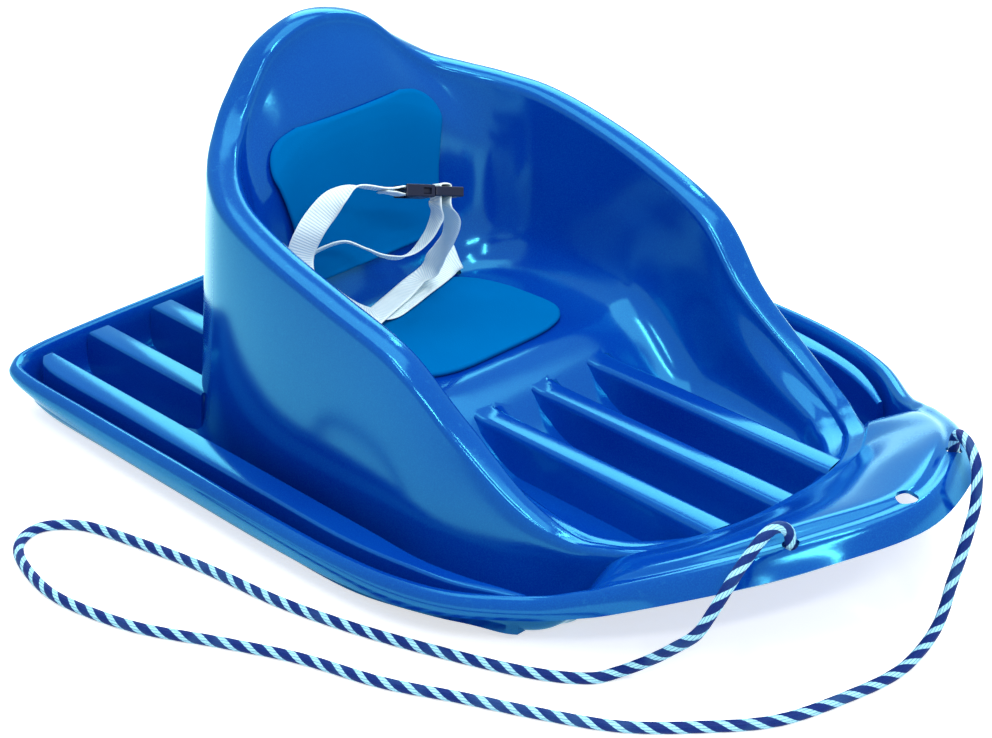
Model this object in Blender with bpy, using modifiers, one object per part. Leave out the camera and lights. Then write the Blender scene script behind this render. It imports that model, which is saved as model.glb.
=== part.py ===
"""A baby sled: one moulded tub-and-pan shell with foam pads, a buckled lap belt and a tow rope.

Metres, +Z up. +X points to the nose and +Y to the sled's left side. The origin is on the ground, under the
middle of the sled.
"""
import math

import bmesh
import bpy
from mathutils import Matrix, Vector
from mathutils.bvhtree import BVHTree

MM = 0.001

# Moulding: wall thickness, and the slack that touching pieces keep
WALL = 2.4 * MM
GAP = 0.3 * MM

# Rolled rim of the tub: half its width on top, how far it falls there, and its spread and fall at its foot
RIM_HALF = 10.5 * MM
RIM_TURN = 2.6 * MM
RIM_SPREAD = 13.0 * MM
RIM_DEPTH = 12.0 * MM

# Where the rim has faded into the nose, its five points lie here: across and down, in millimetres
NOSE_EDGE = ((-3.0, 4.0), (-1.2, 1.2), (0.0, 0.0), (3.0, -1.3), (9.0, -4.0))

# The lip round the pan: how far in its shoulder and its top are, and how far below the top the shoulder and
# the widest line lie
LIP_INSIDE = 12.5 * MM
LIP_ROLL = 6.0 * MM
LIP_SHOULDER = 2.0 * MM
LIP_TURN = 7.0 * MM

# The tub's floor is divided from its middle line out to its edge, and a fillet leads from there into the wall
FLOOR_PARTS = 3
FILLET_OUT = 0.55
FILLET_UP = 0.2

# How much of its fall the pan has made halfway between the tub's wall and the lip
PAN_FALL = 0.6

# Seat and foot well: heights of the floor above the ground, and where the seat's slope starts and ends
SEAT_HEIGHT = 70.0 * MM
WELL_HEIGHT = 28.5 * MM
SLOPE_START = -25.0 * MM
SLOPE_END = 60.0 * MM

# Ribs of the pan: the half width on top, the draft at their feet and their top
RIB_HALF = 10.0 * MM
RIB_FLARE = 4.0 * MM
PAN_RIB_TOP = 39.0 * MM
PAN_RIB_REAR = -343.0 * MM
REAR_RIB_PLACES = (30.0 * MM, 89.0 * MM, 150.0 * MM)

# The long rib beside the lip. How far its inner edge lies inside the lip's widest line, and points along the
# rib: the place, how far its outer edge lies inside the same line, how much further in its inner edge goes, and
# the height, in millimetres
SIDE_RIB_INSET = 46.0 * MM
SIDE_RIB_LINE = (
    (-336, 36, 0, 39), (-322, 28, 0, 39), (-200, 25, 0, 39), (-50, 25, 0, 39), (45, 26, 0, 39), (100, 33, 0, 39),
    (135, 41, 7, 38), (158, 52, 15, 36.5), (176, 63, 23, 34))

# Ribs of the foot well: how far apart, half width, top, and where they start
WELL_RIB_TOP = 58.0 * MM
WELL_RIB_REAR = 7.0 * MM
WELL_RIB_SPACING = 56.0 * MM
WELL_RIB_HALF = 9.5 * MM
WELL_RIB_STEPS = 8
CROSSBAR_HIT = 52.0 * MM
CROSSBAR_RUN = 4.5 * MM
TUNNEL_REACH = 45.0 * MM
TUNNEL_SHORT = 1.2 * MM
UNDERCUT = 30.0 * MM

# Holes in the nose, and the heights that their cutters span
ROPE_HOLE_X = 318.0 * MM
ROPE_HOLE_Y = 80.0 * MM
ROPE_HOLE_RADIUS = 5.5 * MM
NOSE_HOLE_X = 344.0 * MM
NOSE_HOLE_RADIUS = 7.5 * MM
HOLE_LOW = 70.0 * MM
HOLE_HIGH = 210.0 * MM
HOLE_SIDES = 24

# Slots for the belt, low on the back wall: the middle, the length and width, and their lean
SLOT_PLACE = (-163.0 * MM, 67.0 * MM, SEAT_HEIGHT + 9.0 * MM)
SLOT_LENGTH = 26.0 * MM
SLOT_WIDTH = 5.0 * MM
SLOT_DEPTH = 16.0 * MM
SLOT_LEAN = math.radians(38.0)
SLOT_TOE = math.radians(12.0)

# Foam pads
PAD_THICKNESS = 4.0 * MM
PAD_SLACK = 0.6 * MM
BACK_PAD_SLACK = 1.4 * MM
PAD_STEPS = 2
SEAT_PAD_OUTLINE = (
    (-154, 36), (-151, 48), (-146, 55), (-135, 63), (-120, 69), (-100, 73), (-70, 75), (-55, 74), (-45, 69),
    (-37, 60), (-32, 46), (-30, 30))
BACK_PAD_OUTLINE = (
    (100, 54), (103, 61), (111, 66), (125, 70), (145, 71), (165, 75), (180, 79), (190, 82), (200, 80),
    (208, 74), (214, 64), (218, 50))
BACK_PAD_COLUMNS = 20

# Webbing of the lap belt. Each strap is a list of places in millimetres, their heights above the seat, each
# with the direction of the width
BELT_WIDTH = 20.0 * MM
BELT_THICKNESS = 1.5 * MM
BELT_STEPS = 3
RIGHT_STRAP = (
    ((-152, -71, 18), (-0.5, 0.2, 0.8)), ((-146, -84, 31), (0.4, 0.7, 0.5)),
    ((-148, -91, 50), (0.66, 0.73, 0)), ((-153, -88, 69), (0.68, 0.73, -0.05)),
    ((-149, -81, 87), (0.72, 0.68, -0.1)), ((-146, -70, 100), (0.78, 0.5, -0.1)),
    ((-140, -58, 112), (0.85, 0.2, 0.1)), ((-135, -46, 117), (0.88, 0, 0.3)))
LEFT_STRAP_OUT = (
    ((-157, 57, 12), (-0.5, -0.2, 0.6)), ((-152, 42, 9.5), (-0.9, -0.3, 0.3)),
    ((-146, 20, 6.4), (-0.93, -0.36, 0)), ((-137, -8, 6.4), (-0.93, -0.3, 0)),
    ((-133, -27, 7.6), (-0.95, 0, 0.1)), ((-136, -41, 12), (-0.8, 0.5, 0)),
    ((-146, -51, 21), (-0.66, 0.6, -0.2)), ((-157, -61, 35), (-0.66, 0.6, -0.3)),
    ((-163, -70, 48), (-0.66, 0.6, -0.35)), ((-162, -71, 61), (-0.66, 0.58, -0.47)),
    ((-158, -60, 66), (-0.66, 0.58, -0.47)), ((-152, -46, 67), (-0.66, 0.58, -0.47)),
    ((-144, -34, 60), (-0.66, 0.58, -0.47)), ((-136, -24, 53), (-0.7, 0.5, -0.5)),
    ((-128, -15, 51), (-0.75, 0.35, -0.5)), ((-120, -6, 57), (-0.85, 0.2, -0.45)),
    ((-113, 2, 69), (-0.89, 0.2, -0.4)), ((-108, 6, 83), (-0.89, 0.2, -0.4)))
LEFT_STRAP_TAIL = (
    ((-106, 19, 79), (-0.89, 0.2, -0.4)), ((-115, 24, 63), (-0.85, 0.3, -0.42)),
    ((-127, 28, 46), (-0.8, 0.3, -0.5)), ((-139, 30, 31), (-0.8, 0.1, -0.55)),
    ((-149, 28, 18), (-0.88, -0.1, -0.4)), ((-153, 18, 11.5), (-0.93, -0.3, -0.15)),
    ((-146, -4, 9), (-0.93, -0.36, 0)), ((-134, -33, 10), (-0.93, -0.36, 0)),
    ((-127, -55, 8), (-0.93, -0.36, 0)))

# Side-release buckle: its middle, its directions (along, across and up), and its sizes
BUCKLE_PLACE = (-111.0 * MM, 3.0 * MM, SEAT_HEIGHT + 103.5 * MM)
BUCKLE_ALONG = (0.317, 0.916, -0.245)
BUCKLE_ACROSS = (-0.893, 0.202, -0.402)
BUCKLE_HALF_WIDTH = 12.5 * MM
BUCKLE_REAR = -23.0 * MM
BUCKLE_FRONT = 23.0 * MM
SOCKET_HALF_HEIGHT = 4.6 * MM
SOCKET_WALL = 1.7 * MM
INSERT_HALF_HEIGHT = 3.6 * MM
BUCKLE_BEVEL = 0.8 * MM
BAR_WIDTH = 3.2 * MM
BAR_SLOT = 4.6 * MM
LADDER_BAR = 6.0 * MM
BUCKLE_CLEAR = 0.4 * MM
GRIP_SHOULDER = 1.8 * MM
ARM_LENGTH = 12.5 * MM
ARM_WIDTH = 2.8 * MM
ARM_HALF_HEIGHT = 2.3 * MM
GUIDE_HALF_WIDTH = 2.0 * MM

# Bars behind the back wall that hold the belt's ends
ANCHOR_LENGTH = 32.0 * MM
ANCHOR_SIZE = 4.0 * MM
ANCHOR_DEPTH = 11.0 * MM
ANCHOR_GAP = 0.3 * MM
SLOT_CLEAR = 8.0 * MM

# Tow rope: its route in millimetres, from the right hole round on the ground to the left hole, and its knots
ROPE_RADIUS = 3.75 * MM
ROPE_STEPS = 2
ROPE_ROUTE = (
    (318, -80, 86.4), (318, -80, 93), (318, -82, 100.5), (317.5, -87.5, 106), (317, -95, 108),
    (316.5, -102.5, 106), (315.5, -109, 101), (314.5, -115, 95.5), (314, -122, 90), (312, -131, 79),
    (308, -140, 64), (300, -146, 47), (286, -151, 33), (270, -155, 19), (252, -166, 6.5), (240, -183, 4),
    (209, -204, 4), (157, -226, 4), (93, -248, 4), (28, -264, 4), (-47, -274, 4), (-121, -290, 4),
    (-154, -301, 4), (-172, -321, 4), (-167, -342, 4), (-145, -356, 4), (-102, -365, 4), (-64, -362, 4),
    (-15, -348, 4), (37, -321, 4), (90, -296, 4), (148, -277, 4), (197, -253, 4), (246, -230, 4),
    (291, -205, 4), (327, -171, 4), (357, -132, 4), (372, -78, 4), (376, -44, 4), (374, -19, 7),
    (370, 1, 12), (368.5, 11, 22), (367.5, 18, 35), (367, 25, 47), (366, 32, 58), (365, 38, 69),
    (364, 44, 81), (361, 49, 93), (356, 55, 101.5), (349, 60.5, 106), (341, 66, 108.5), (331, 72, 108.5),
    (324.4, 76, 106), (319.7, 79, 100.5), (318, 80, 93), (318, 80, 86.4))
KNOT_SCALE = 4.0 * MM
KNOT_RADIUS = 3.6 * MM
KNOT_INSET = 6.0 * MM
KNOT_HEIGHT = 78.4 * MM
KNOT_POINTS = 48

# Stations from the middle of the back, round the left side, to the middle of the nose. Each holds points of
# the floor's edge, the inner wall, the rim's crest, the outer wall's foot, the inside of the pan's lip, and
# the lip's widest line, in millimetres
FLOOR_EDGE = (
    (-158, 0), (-158, 30), (-158, 55), (-154, 72), (-146, 82), (-134, 89), (-112, 94), (-70, 97), (-20, 98),
    (32, 98), (74, 97), (118, 94), (156, 88), (176, 81), (192, 71), (208, 50), (219, 26), (223, 0))
INNER_WALL = (
    (-194, 0, 216), (-194, 38, 212), (-192, 68, 198), (-185, 88, 184), (-175, 105, 170), (-158, 119, 160),
    (-132, 130, 150), (-86, 136, 142), (-26, 137, 131), (34, 133, 112), (77, 124, 82), (124, 118, 60),
    (164, 111, 49), (182, 101, 46), (200, 88, 46), (222, 62, 48), (234, 34, 50), (238, 0, 51))
RIM_CREST = (
    (-236, 0, 285), (-234, 45, 273), (-227, 76, 246), (-214, 98, 228), (-196, 117, 219), (-173, 134, 212),
    (-140, 149, 204), (-90, 156, 191), (-28, 156, 174), (36, 151, 151), (80, 143, 111), (129, 139, 77),
    (170, 129, 57), (192, 117, 53), (212, 101, 53), (232, 72, 57), (244, 40, 60), (248, 0, 62))
WALL_FOOT = (
    (-264, 0, 2.4), (-263, 45, 2.4), (-258, 80, 2.4), (-248, 110, 2.4), (-230, 135, 2.4), (-203, 157, 2.4),
    (-160, 174, 2.4), (-95, 184, 2.4), (-28, 185, 2.4), (42, 183, 2.4), (90, 179, 2.4), (134, 169, 2.4),
    (165, 153, 4), (187, 140, 6), (206, 126, 50), (240, 89, 62), (257, 46, 67), (263, 0, 69))
LIP_FOOT = (
    (-344, 0, 2.4), (-344, 73, 2.4), (-344, 134, 2.4), (-342, 192, 2.4), (-335, 216, 2.4), (-312, 226, 2.4),
    (-225, 226, 2.4), (-118, 226, 2.4), (-30, 226, 3), (48, 224, 6), (100, 217, 14), (147, 203, 20),
    (176, 180, 10), (197, 165, 20), (226, 152, 56), (278, 112, 82), (311, 68, 96), (338, 0, 102))
LIP_EDGE = (
    (-362, 0), (-362, 75), (-362, 140), (-359, 203), (-348, 230), (-320, 242), (-230, 243), (-120, 243),
    (-30, 243), (50, 241), (105, 234), (152, 219), (196, 191), (222, 176), (245, 162), (293, 124), (332, 74),
    (359, 0))
LIP_TOP = (41, 41, 41, 41, 41, 41, 41, 41, 41, 41, 41, 42, 45, 53, 62, 81, 94, 101)
LIP_BOTTOM = (22, 22, 22, 22, 22, 22, 22, 22, 22, 22, 23, 26, 30, 37, 45, 66, 80, 84)
LIP_TUCK = (2, 2, 4, 8, 11, 8, 3, 2, 2, 2, 2, 2, 1, 0, -1, -6, -7, -3)
RIM_FADE = (1, 1, 1, 1, 1, 1, 1, 1, 1, 1, 0.9, 0.6, 0.25, 0.15, 0.1, 0.05, 0, 0)
SPINE_REAR = -110.0 * MM
SPINE_FRONT = 180.0 * MM
STEPS_PER_STATION = 2

# A measured line stays this far off the seam between the two halves
OFF_SEAM = 0.01 * MM


def material(name, colour, roughness, metallic=0.0):
    made = bpy.data.materials.new(name)
    made.use_nodes = True
    shader = made.node_tree.nodes["Principled BSDF"]
    shader.inputs["Base Color"].default_value = (*colour, 1.0)
    shader.inputs["Roughness"].default_value = roughness
    shader.inputs["Metallic"].default_value = metallic
    return made


def new_object(name, mesh, collection, finish=None):
    made = bpy.data.objects.new(name, mesh)
    collection.objects.link(made)
    if finish is not None:
        mesh.materials.append(finish)
    return made


def as_cutter(made):
    made.hide_render = True
    made.display_type = "WIRE"
    return made


def smooth_line(points, steps, mirrored=True):
    """Samples a smooth curve through the points. A mirrored one meets its reflection across the middle."""
    points = [Vector(p) for p in points]
    if mirrored:
        flip = Vector([-1.0 if axis == 1 else 1.0 for axis in range(len(points[0]))])
        before = Vector([a * b for a, b in zip(points[1], flip)])
        after = Vector([a * b for a, b in zip(points[-2], flip)])
    else:
        before = 2 * points[0] - points[1]
        after = 2 * points[-1] - points[-2]
    ring = [before, *points, after]
    samples = []
    for index in range(1, len(ring) - 2):
        a, b, c, d = ring[index - 1:index + 3]
        for step in range(steps):
            t = step / steps
            samples.append(0.5 * ((2 * b) + (c - a) * t + (2 * a - 5 * b + 4 * c - d) * t * t
                                  + (3 * b - a - 3 * c + d) * t * t * t))
    samples.append(points[-1].copy())
    return samples


def ease(value):
    value = min(max(value, 0.0), 1.0)
    return value * value * (3.0 - 2.0 * value)


def floor_height(x):
    """Height of the tub's floor: level under the seat, then sloping down to the foot well."""
    return SEAT_HEIGHT - (SEAT_HEIGHT - WELL_HEIGHT) * ease((x - SLOPE_START) / (SLOPE_END - SLOPE_START))


def outward(line):
    """Unit normals in plan, pointing away from the tub's middle."""
    normals = []
    for index, point in enumerate(line):
        before = line[max(index - 1, 0)]
        after = line[min(index + 1, len(line) - 1)]
        along = Vector((after[0] - before[0], after[1] - before[1]))
        if index == 0:
            along = Vector((0.0, 1.0))
        if index == len(line) - 1:
            along = Vector((0.0, -1.0))
        along.normalize()
        normals.append(Vector((-along[1], along[0])))
    return normals


def shell_sections():
    """The half shell's points, one list for each section from the tub's middle out to the lip."""
    steps = STEPS_PER_STATION
    floor = [p * MM for p in smooth_line(FLOOR_EDGE, steps)]
    inner = [p * MM for p in smooth_line(INNER_WALL, steps)]
    crest = [p * MM for p in smooth_line(RIM_CREST, steps)]
    foot = [p * MM for p in smooth_line(WALL_FOOT, steps)]
    lip_foot = [p * MM for p in smooth_line(LIP_FOOT, steps)]
    edge = [p * MM for p in smooth_line(LIP_EDGE, steps)]
    tops = smooth_line([(h, 0.0, f) for h, f in zip(LIP_TOP, RIM_FADE)], steps)
    bottoms = smooth_line([(h, 0.0, t) for h, t in zip(LIP_BOTTOM, LIP_TUCK)], steps)
    rim_normals = outward(crest)
    lip_normals = outward(edge)
    reach = floor[-1][0] - floor[0][0]
    rolled = ((-RIM_SPREAD, RIM_DEPTH), (-RIM_HALF, RIM_TURN), (0.0, 0.0), (RIM_HALF, RIM_TURN),
              (RIM_SPREAD, RIM_DEPTH))
    sections = []
    for i, middle in enumerate(crest):
        fade = min(max(tops[i][2], 0.0), 1.0)
        top = tops[i][0] * MM
        share = (floor[i][0] - floor[0][0]) / reach
        spine = Vector((SPINE_REAR + (SPINE_FRONT - SPINE_REAR) * share, 0.0))
        section = []
        for part in range(FLOOR_PARTS + 1):
            flat = spine.lerp(floor[i], part / FLOOR_PARTS)
            section.append(Vector((flat[0], flat[1], floor_height(flat[0]))))
        low = section[-1]
        fillet = low.lerp(inner[i], FILLET_OUT)
        section.append(Vector((fillet[0], fillet[1], low[2] + FILLET_UP * (inner[i][2] - low[2]))))
        section.append(inner[i])
        normal = rim_normals[i]
        for (across, down), (near, dip) in zip(rolled, NOSE_EDGE):
            across = near * MM + (across - near * MM) * fade
            down = dip * MM + (down - dip * MM) * fade
            section.append(Vector((middle[0] + across * normal[0], middle[1] + across * normal[1],
                                   middle[2] - down)))
        section.append(section[-1].lerp(foot[i], 0.5))
        section.append(foot[i])
        between = foot[i].lerp(lip_foot[i], 0.5)
        between[2] = foot[i][2] + PAN_FALL * (lip_foot[i][2] - foot[i][2])
        section.append(between)
        section.append(lip_foot[i])
        out = lip_normals[i]
        for inward, height in ((LIP_INSIDE, top - LIP_SHOULDER), (LIP_ROLL, top), (0.0, top - LIP_TURN),
                               (bottoms[i][2] * MM, bottoms[i][0] * MM)):
            section.append(Vector((edge[i][0] - inward * out[0], edge[i][1] - inward * out[1], height)))
        if i in (0, len(crest) - 1):
            for point in section:
                point[1] = 0.0
        sections.append(section)
    return sections


def sheet_mesh(name, rows):
    mesh = bpy.data.meshes.new(name)
    build = bmesh.new()
    grid = [[build.verts.new(point) for point in row] for row in rows]
    for i in range(len(grid) - 1):
        for j in range(len(grid[0]) - 1):
            build.faces.new((grid[i][j], grid[i + 1][j], grid[i + 1][j + 1], grid[i][j + 1]))
    bmesh.ops.recalc_face_normals(build, faces=build.faces)
    build.to_mesh(mesh)
    build.free()
    return mesh


class Surface:
    """The shell's upper surface, both halves, for finding where something meets it."""

    def __init__(self, rows):
        count = len(rows[0])
        points = []
        faces = []
        for side in (1.0, -1.0):
            start = len(points)
            points += [Vector((p[0], p[1] * side, p[2])) for row in rows for p in row]
            for i in range(len(rows) - 1):
                for j in range(count - 1):
                    a = start + i * count + j
                    faces.append((a, a + count, a + count + 1, a + 1))
        self.tree = BVHTree.FromPolygons(points, faces)

    def along_x(self, start, y, z, towards):
        """Where a line from start, level and parallel to X, first meets the surface."""
        place = self.tree.ray_cast(Vector((start, y + OFF_SEAM, z)), Vector((towards, 0.0, 0.0)))[0]
        return place[0]

    def below(self, x, y, z):
        """The surface's height below a point."""
        place = self.tree.ray_cast(Vector((x, y + OFF_SEAM, z)), Vector((0.0, 0.0, -1.0)))[0]
        return place[2]


def loft(name, rings, collection, finish=None):
    """A closed solid through rings of the same number of points."""
    mesh = bpy.data.meshes.new(name)
    build = bmesh.new()
    grid = [[build.verts.new(point) for point in ring] for ring in rings]
    count = len(rings[0])
    for a, b in zip(grid[:-1], grid[1:]):
        for j in range(count):
            build.faces.new((a[j], b[j], b[(j + 1) % count], a[(j + 1) % count]))
    build.faces.new(grid[0])
    build.faces.new(grid[-1])
    bmesh.ops.recalc_face_normals(build, faces=build.faces)
    if build.calc_volume(signed=True) < 0.0:
        bmesh.ops.reverse_faces(build, faces=build.faces)
    build.to_mesh(mesh)
    build.free()
    return new_object(name, mesh, collection, finish)


def bar_ring(xs, middle, lower_half, upper_half, lower, upper):
    """Six points round a drafted bar: left, middle and right, below and then on top."""
    across = (-1.0, 0.0, 1.0)
    ring = [(xs[k], middle + across[k] * lower_half, lower) for k in range(3)]
    ring += [(xs[3 + k], middle + across[k] * upper_half, upper) for k in range(3)]
    return [ring[k] for k in (0, 1, 2, 5, 4, 3)]


def rear_rib(number, place, surface, hollow, collection):
    """One rib behind the tub, from the rear lip into the tub's wall, or the hollow below it."""
    inset = WALL if hollow else 0.0
    upper = PAN_RIB_TOP - inset
    lower = -UNDERCUT if hollow else 0.5 * WALL
    upper_half = RIB_HALF - inset
    flare = RIB_FLARE * (upper - lower) / PAN_RIB_TOP if hollow else RIB_FLARE
    lower_half = upper_half + flare
    rear = [PAN_RIB_REAR + inset - flare] * 3 + [PAN_RIB_REAR + inset] * 3
    front = []
    for half, height in ((lower_half, WALL), (upper_half, upper)):
        for side in (-1.0, 0.0, 1.0):
            hit = surface.along_x(PAN_RIB_REAR + RIB_HALF, place + side * half, height + WALL, 1.0)
            front.append(hit + (TUNNEL_REACH if hollow else 0.5 * WALL))
    rings = [bar_ring(xs, place, lower_half, upper_half, lower, upper) for xs in (rear, front)]
    return loft(f"rear_rib_{'hollow' if hollow else 'bar'}_{number}", rings, collection)


def side_rib(side, surface, hollow, collection):
    """The long rib beside the lip, narrowing along the lip's curve, or the hollow below it."""
    inset = WALL if hollow else 0.0
    widest = max(y for x, y in LIP_EDGE) * MM
    rings = []
    line = [Vector(p) * MM for p in SIDE_RIB_LINE]
    for index, (x, depth, turned, upper) in enumerate(line):
        if index == 0:
            x += inset
        if index == len(line) - 1:
            x -= 4.0 * inset
        upper -= inset
        outer = widest - depth - inset
        inner = widest - SIDE_RIB_INSET - turned + inset
        feet = (inner - RIB_FLARE, outer + RIB_FLARE)
        near, far, middle = [surface.below(x, y, upper + WALL) for y in (*feet, 0.5 * (inner + outer))]
        sag = max(0.0, 0.5 * (near + far) - middle) + 0.5 * WALL
        ring = []
        for y, height in zip(feet, (near, far)):
            ring.append((x, y * side, -WALL if hollow else height - sag))
        ring += [(x, outer * side, upper), (x, inner * side, upper)]
        rings.append(ring)
    word = "left" if side > 0 else "right"
    return loft(f"side_rib_{'hollow' if hollow else 'bar'}_{word}", rings, collection)


def well_rib(number, place, surface, hollow, collection):
    """One rib of the foot well, growing out of the seat's slope and running into the crossbar."""
    inset = WALL if hollow else 0.0
    upper = WELL_RIB_TOP - inset
    rings = []
    upper_half = WELL_RIB_HALF - inset
    lower_half = upper_half + RIB_FLARE
    for step in range(WELL_RIB_STEPS + 1):
        share = step / WELL_RIB_STEPS
        xs = []
        for half, height, onward in ((lower_half, WELL_HEIGHT + WALL, 0.0),
                                     (upper_half, CROSSBAR_HIT, CROSSBAR_RUN)):
            for across in (-1.0, 0.0, 1.0):
                front = surface.along_x(0.4 * (SLOPE_END + ROPE_HOLE_X), place + across * half, height, 1.0)
                front += -TUNNEL_SHORT if hollow else 0.5 * WALL + onward
                rear = WELL_RIB_REAR + 4.0 * inset
                xs.append(rear + (front - rear) * share)
        floor = floor_height(xs[1])
        lower = floor - (UNDERCUT if hollow else 0.5 * WALL)
        rings.append(bar_ring(xs, place, lower_half, upper_half, lower, upper))
    return loft(f"well_rib_{'hollow' if hollow else 'bar'}_{number}", rings, collection)


def hole_cutter(name, x, y, radius, collection):
    rings = []
    for z in (HOLE_LOW, HOLE_HIGH):
        ring = []
        for k in range(HOLE_SIDES):
            turn = 2.0 * math.pi * k / HOLE_SIDES
            ring.append((x + radius * math.cos(turn), y + radius * math.sin(turn), z))
        rings.append(ring)
    return as_cutter(loft(name, rings, collection))


def slot_frame(side):
    """Where a belt slot is: its X is out of the wall into the seat, its Z up along the slot."""
    place = Vector((SLOT_PLACE[0], SLOT_PLACE[1] * side, SLOT_PLACE[2]))
    turn = Matrix.Rotation(-SLOT_TOE * side, 4, "Z") @ Matrix.Rotation(-SLOT_LEAN, 4, "Y")
    return Matrix.Translation(place) @ turn


def box(name, low, high, collection, finish=None, frame=None, bevel=0.0):
    """A box between two corners, placed by a frame."""
    rings = []
    for z in (low[2], high[2]):
        rings.append([
            (low[0], low[1], z), (high[0], low[1], z), (high[0], high[1], z), (low[0], high[1], z)])
    made = loft(name, rings, collection, finish)
    if frame is not None:
        made.matrix_world = frame
    if bevel > 0.0:
        edge = made.modifiers.new("edges", "BEVEL")
        edge.width = bevel
        edge.segments = 2
    return made


def combine(target, operand, operation):
    step = target.modifiers.new(f"{operation.lower()} {operand.name}", "BOOLEAN")
    step.operation = operation
    step.solver = "EXACT"
    step.object = operand


def build_shell(collection, cutters, finish, surface, rows):
    mesh = sheet_mesh("sled_shell", rows)
    shell = new_object("sled_shell", mesh, collection, finish)
    mirror = shell.modifiers.new("other half", "MIRROR")
    mirror.use_axis = (False, True, False)
    mirror.merge_threshold = 0.0001
    solid = shell.modifiers.new("wall", "SOLIDIFY")
    solid.thickness = WALL
    solid.offset = -1.0
    solid.use_even_offset = True
    for hollow in (False, True):
        pieces = []
        for number, place in enumerate(REAR_RIB_PLACES):
            for side in (1.0, -1.0):
                word = "left" if side > 0 else "right"
                pieces.append(rear_rib(f"{number}_{word}", place * side, surface, hollow, cutters))
        for side in (1.0, -1.0):
            pieces.append(side_rib(side, surface, hollow, cutters))
        for number in (-1, 0, 1):
            pieces.append(well_rib(number + 2, number * WELL_RIB_SPACING, surface, hollow, cutters))
        for piece in pieces:
            combine(shell, as_cutter(piece), "DIFFERENCE" if hollow else "UNION")
    holes = [hole_cutter("nose_hole", NOSE_HOLE_X, 0.0, NOSE_HOLE_RADIUS, cutters)]
    for side, word in ((1.0, "left"), (-1.0, "right")):
        place = ROPE_HOLE_Y * side
        holes.append(hole_cutter(f"rope_hole_{word}", ROPE_HOLE_X, place, ROPE_HOLE_RADIUS, cutters))
        half = (SLOT_DEPTH, 0.5 * SLOT_WIDTH, 0.5 * SLOT_LENGTH)
        slot = box(f"belt_slot_{word}", [-h for h in half], half, cutters, frame=slot_frame(side))
        holes.append(as_cutter(slot))
    for hole in holes:
        combine(shell, hole, "DIFFERENCE")
    return shell


def seat_pad(collection, finish):
    """The foam pad on the seat's floor, following its slope."""
    line = [p * MM for p in smooth_line(SEAT_PAD_OUTLINE, PAD_STEPS, mirrored=False)]
    rings = []
    for x, half in line:
        low = floor_height(x) + PAD_SLACK
        high = low + PAD_THICKNESS
        rings.append([(x, -half, low), (x, half, low), (x, half, high), (x, -half, high)])
    return loft("seat_pad", rings, collection, finish)


def back_pad(collection, finish, surface):
    """The foam pad on the back wall, following the wall."""
    line = [p * MM for p in smooth_line(BACK_PAD_OUTLINE, PAD_STEPS, mirrored=False)]
    rings = []
    for z, half in line:
        back = []
        for step in range(BACK_PAD_COLUMNS + 1):
            y = half * (2.0 * step / BACK_PAD_COLUMNS - 1.0)
            back.append(Vector((surface.along_x(0.0, y, z, -1.0) + BACK_PAD_SLACK, y, z)))
        front = [point + Vector((PAD_THICKNESS, 0.0, 0.0)) for point in reversed(back)]
        rings.append(back + front)
    return loft("back_pad", rings, collection, finish)


def buckle_frame():
    along = Vector(BUCKLE_ALONG).normalized()
    up = along.cross(Vector(BUCKLE_ACROSS)).normalized()
    across = up.cross(along)
    turn = Matrix((along, across, up)).transposed().to_4x4()
    return Matrix.Translation(Vector(BUCKLE_PLACE)) @ turn


def strap(name, places, collection, finish):
    """A ribbon through places, each with the direction of its width."""
    line = smooth_line([place for place, width in places], BELT_STEPS, mirrored=False)
    widths = smooth_line([width for place, width in places], BELT_STEPS, mirrored=False)
    rings = []
    for index, point in enumerate(line):
        along = (line[min(index + 1, len(line) - 1)] - line[max(index - 1, 0)]).normalized()
        across = (widths[index] - along * widths[index].dot(along)).normalized()
        face = along.cross(across)
        half = across * (0.5 * BELT_WIDTH)
        skin = face * (0.5 * BELT_THICKNESS)
        rings.append([point - half - skin, point + half - skin, point + half + skin, point - half + skin])
    return loft(name, rings, collection, finish)


def in_frame(frame, place, width):
    return (frame @ Vector(place), frame.to_3x3() @ Vector(width))


def above_seat(places):
    """Places of a strap whose heights are above the seat."""
    return [(Vector(place) * MM + Vector((0.0, 0.0, SEAT_HEIGHT)), width) for place, width in places]


def slot_places(side):
    """The stretch of strap that passes through a slot, from its anchor outwards."""
    frame = slot_frame(side)
    stops = (ANCHOR_GAP - ANCHOR_DEPTH, 0.0, SLOT_CLEAR)
    return [in_frame(frame, (x, 0.0, 0.0), (0.0, 0.0, 1.0)) for x in stops]


def right_strap(collection, finish, frame):
    """From the right slot up to the buckle, round the socket's bar and back on itself."""
    skin = 0.5 * BELT_THICKNESS + GAP
    bar = BUCKLE_REAR + 0.5 * BAR_WIDTH
    reach = 0.5 * BAR_WIDTH + skin
    places = slot_places(-1.0)
    places += above_seat(RIGHT_STRAP)
    turn = ((bar - 6.0 * reach, skin), (bar - 3.0 * reach, 1.5 * skin), (bar - reach, reach), (bar, reach),
            (bar + 0.95 * reach, 0.9 * reach), (bar + 1.1 * reach, 0.0), (bar + 0.95 * reach, -0.9 * reach),
            (bar, -reach), (bar - reach, -reach), (bar - 3.0 * reach, -1.5 * skin),
            (bar - 6.0 * reach, -skin))
    places += [in_frame(frame, (along, 0.0, up), (0.0, -1.0, 0.0)) for along, up in turn]
    return strap("belt_strap_right", places, collection, finish)


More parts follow.
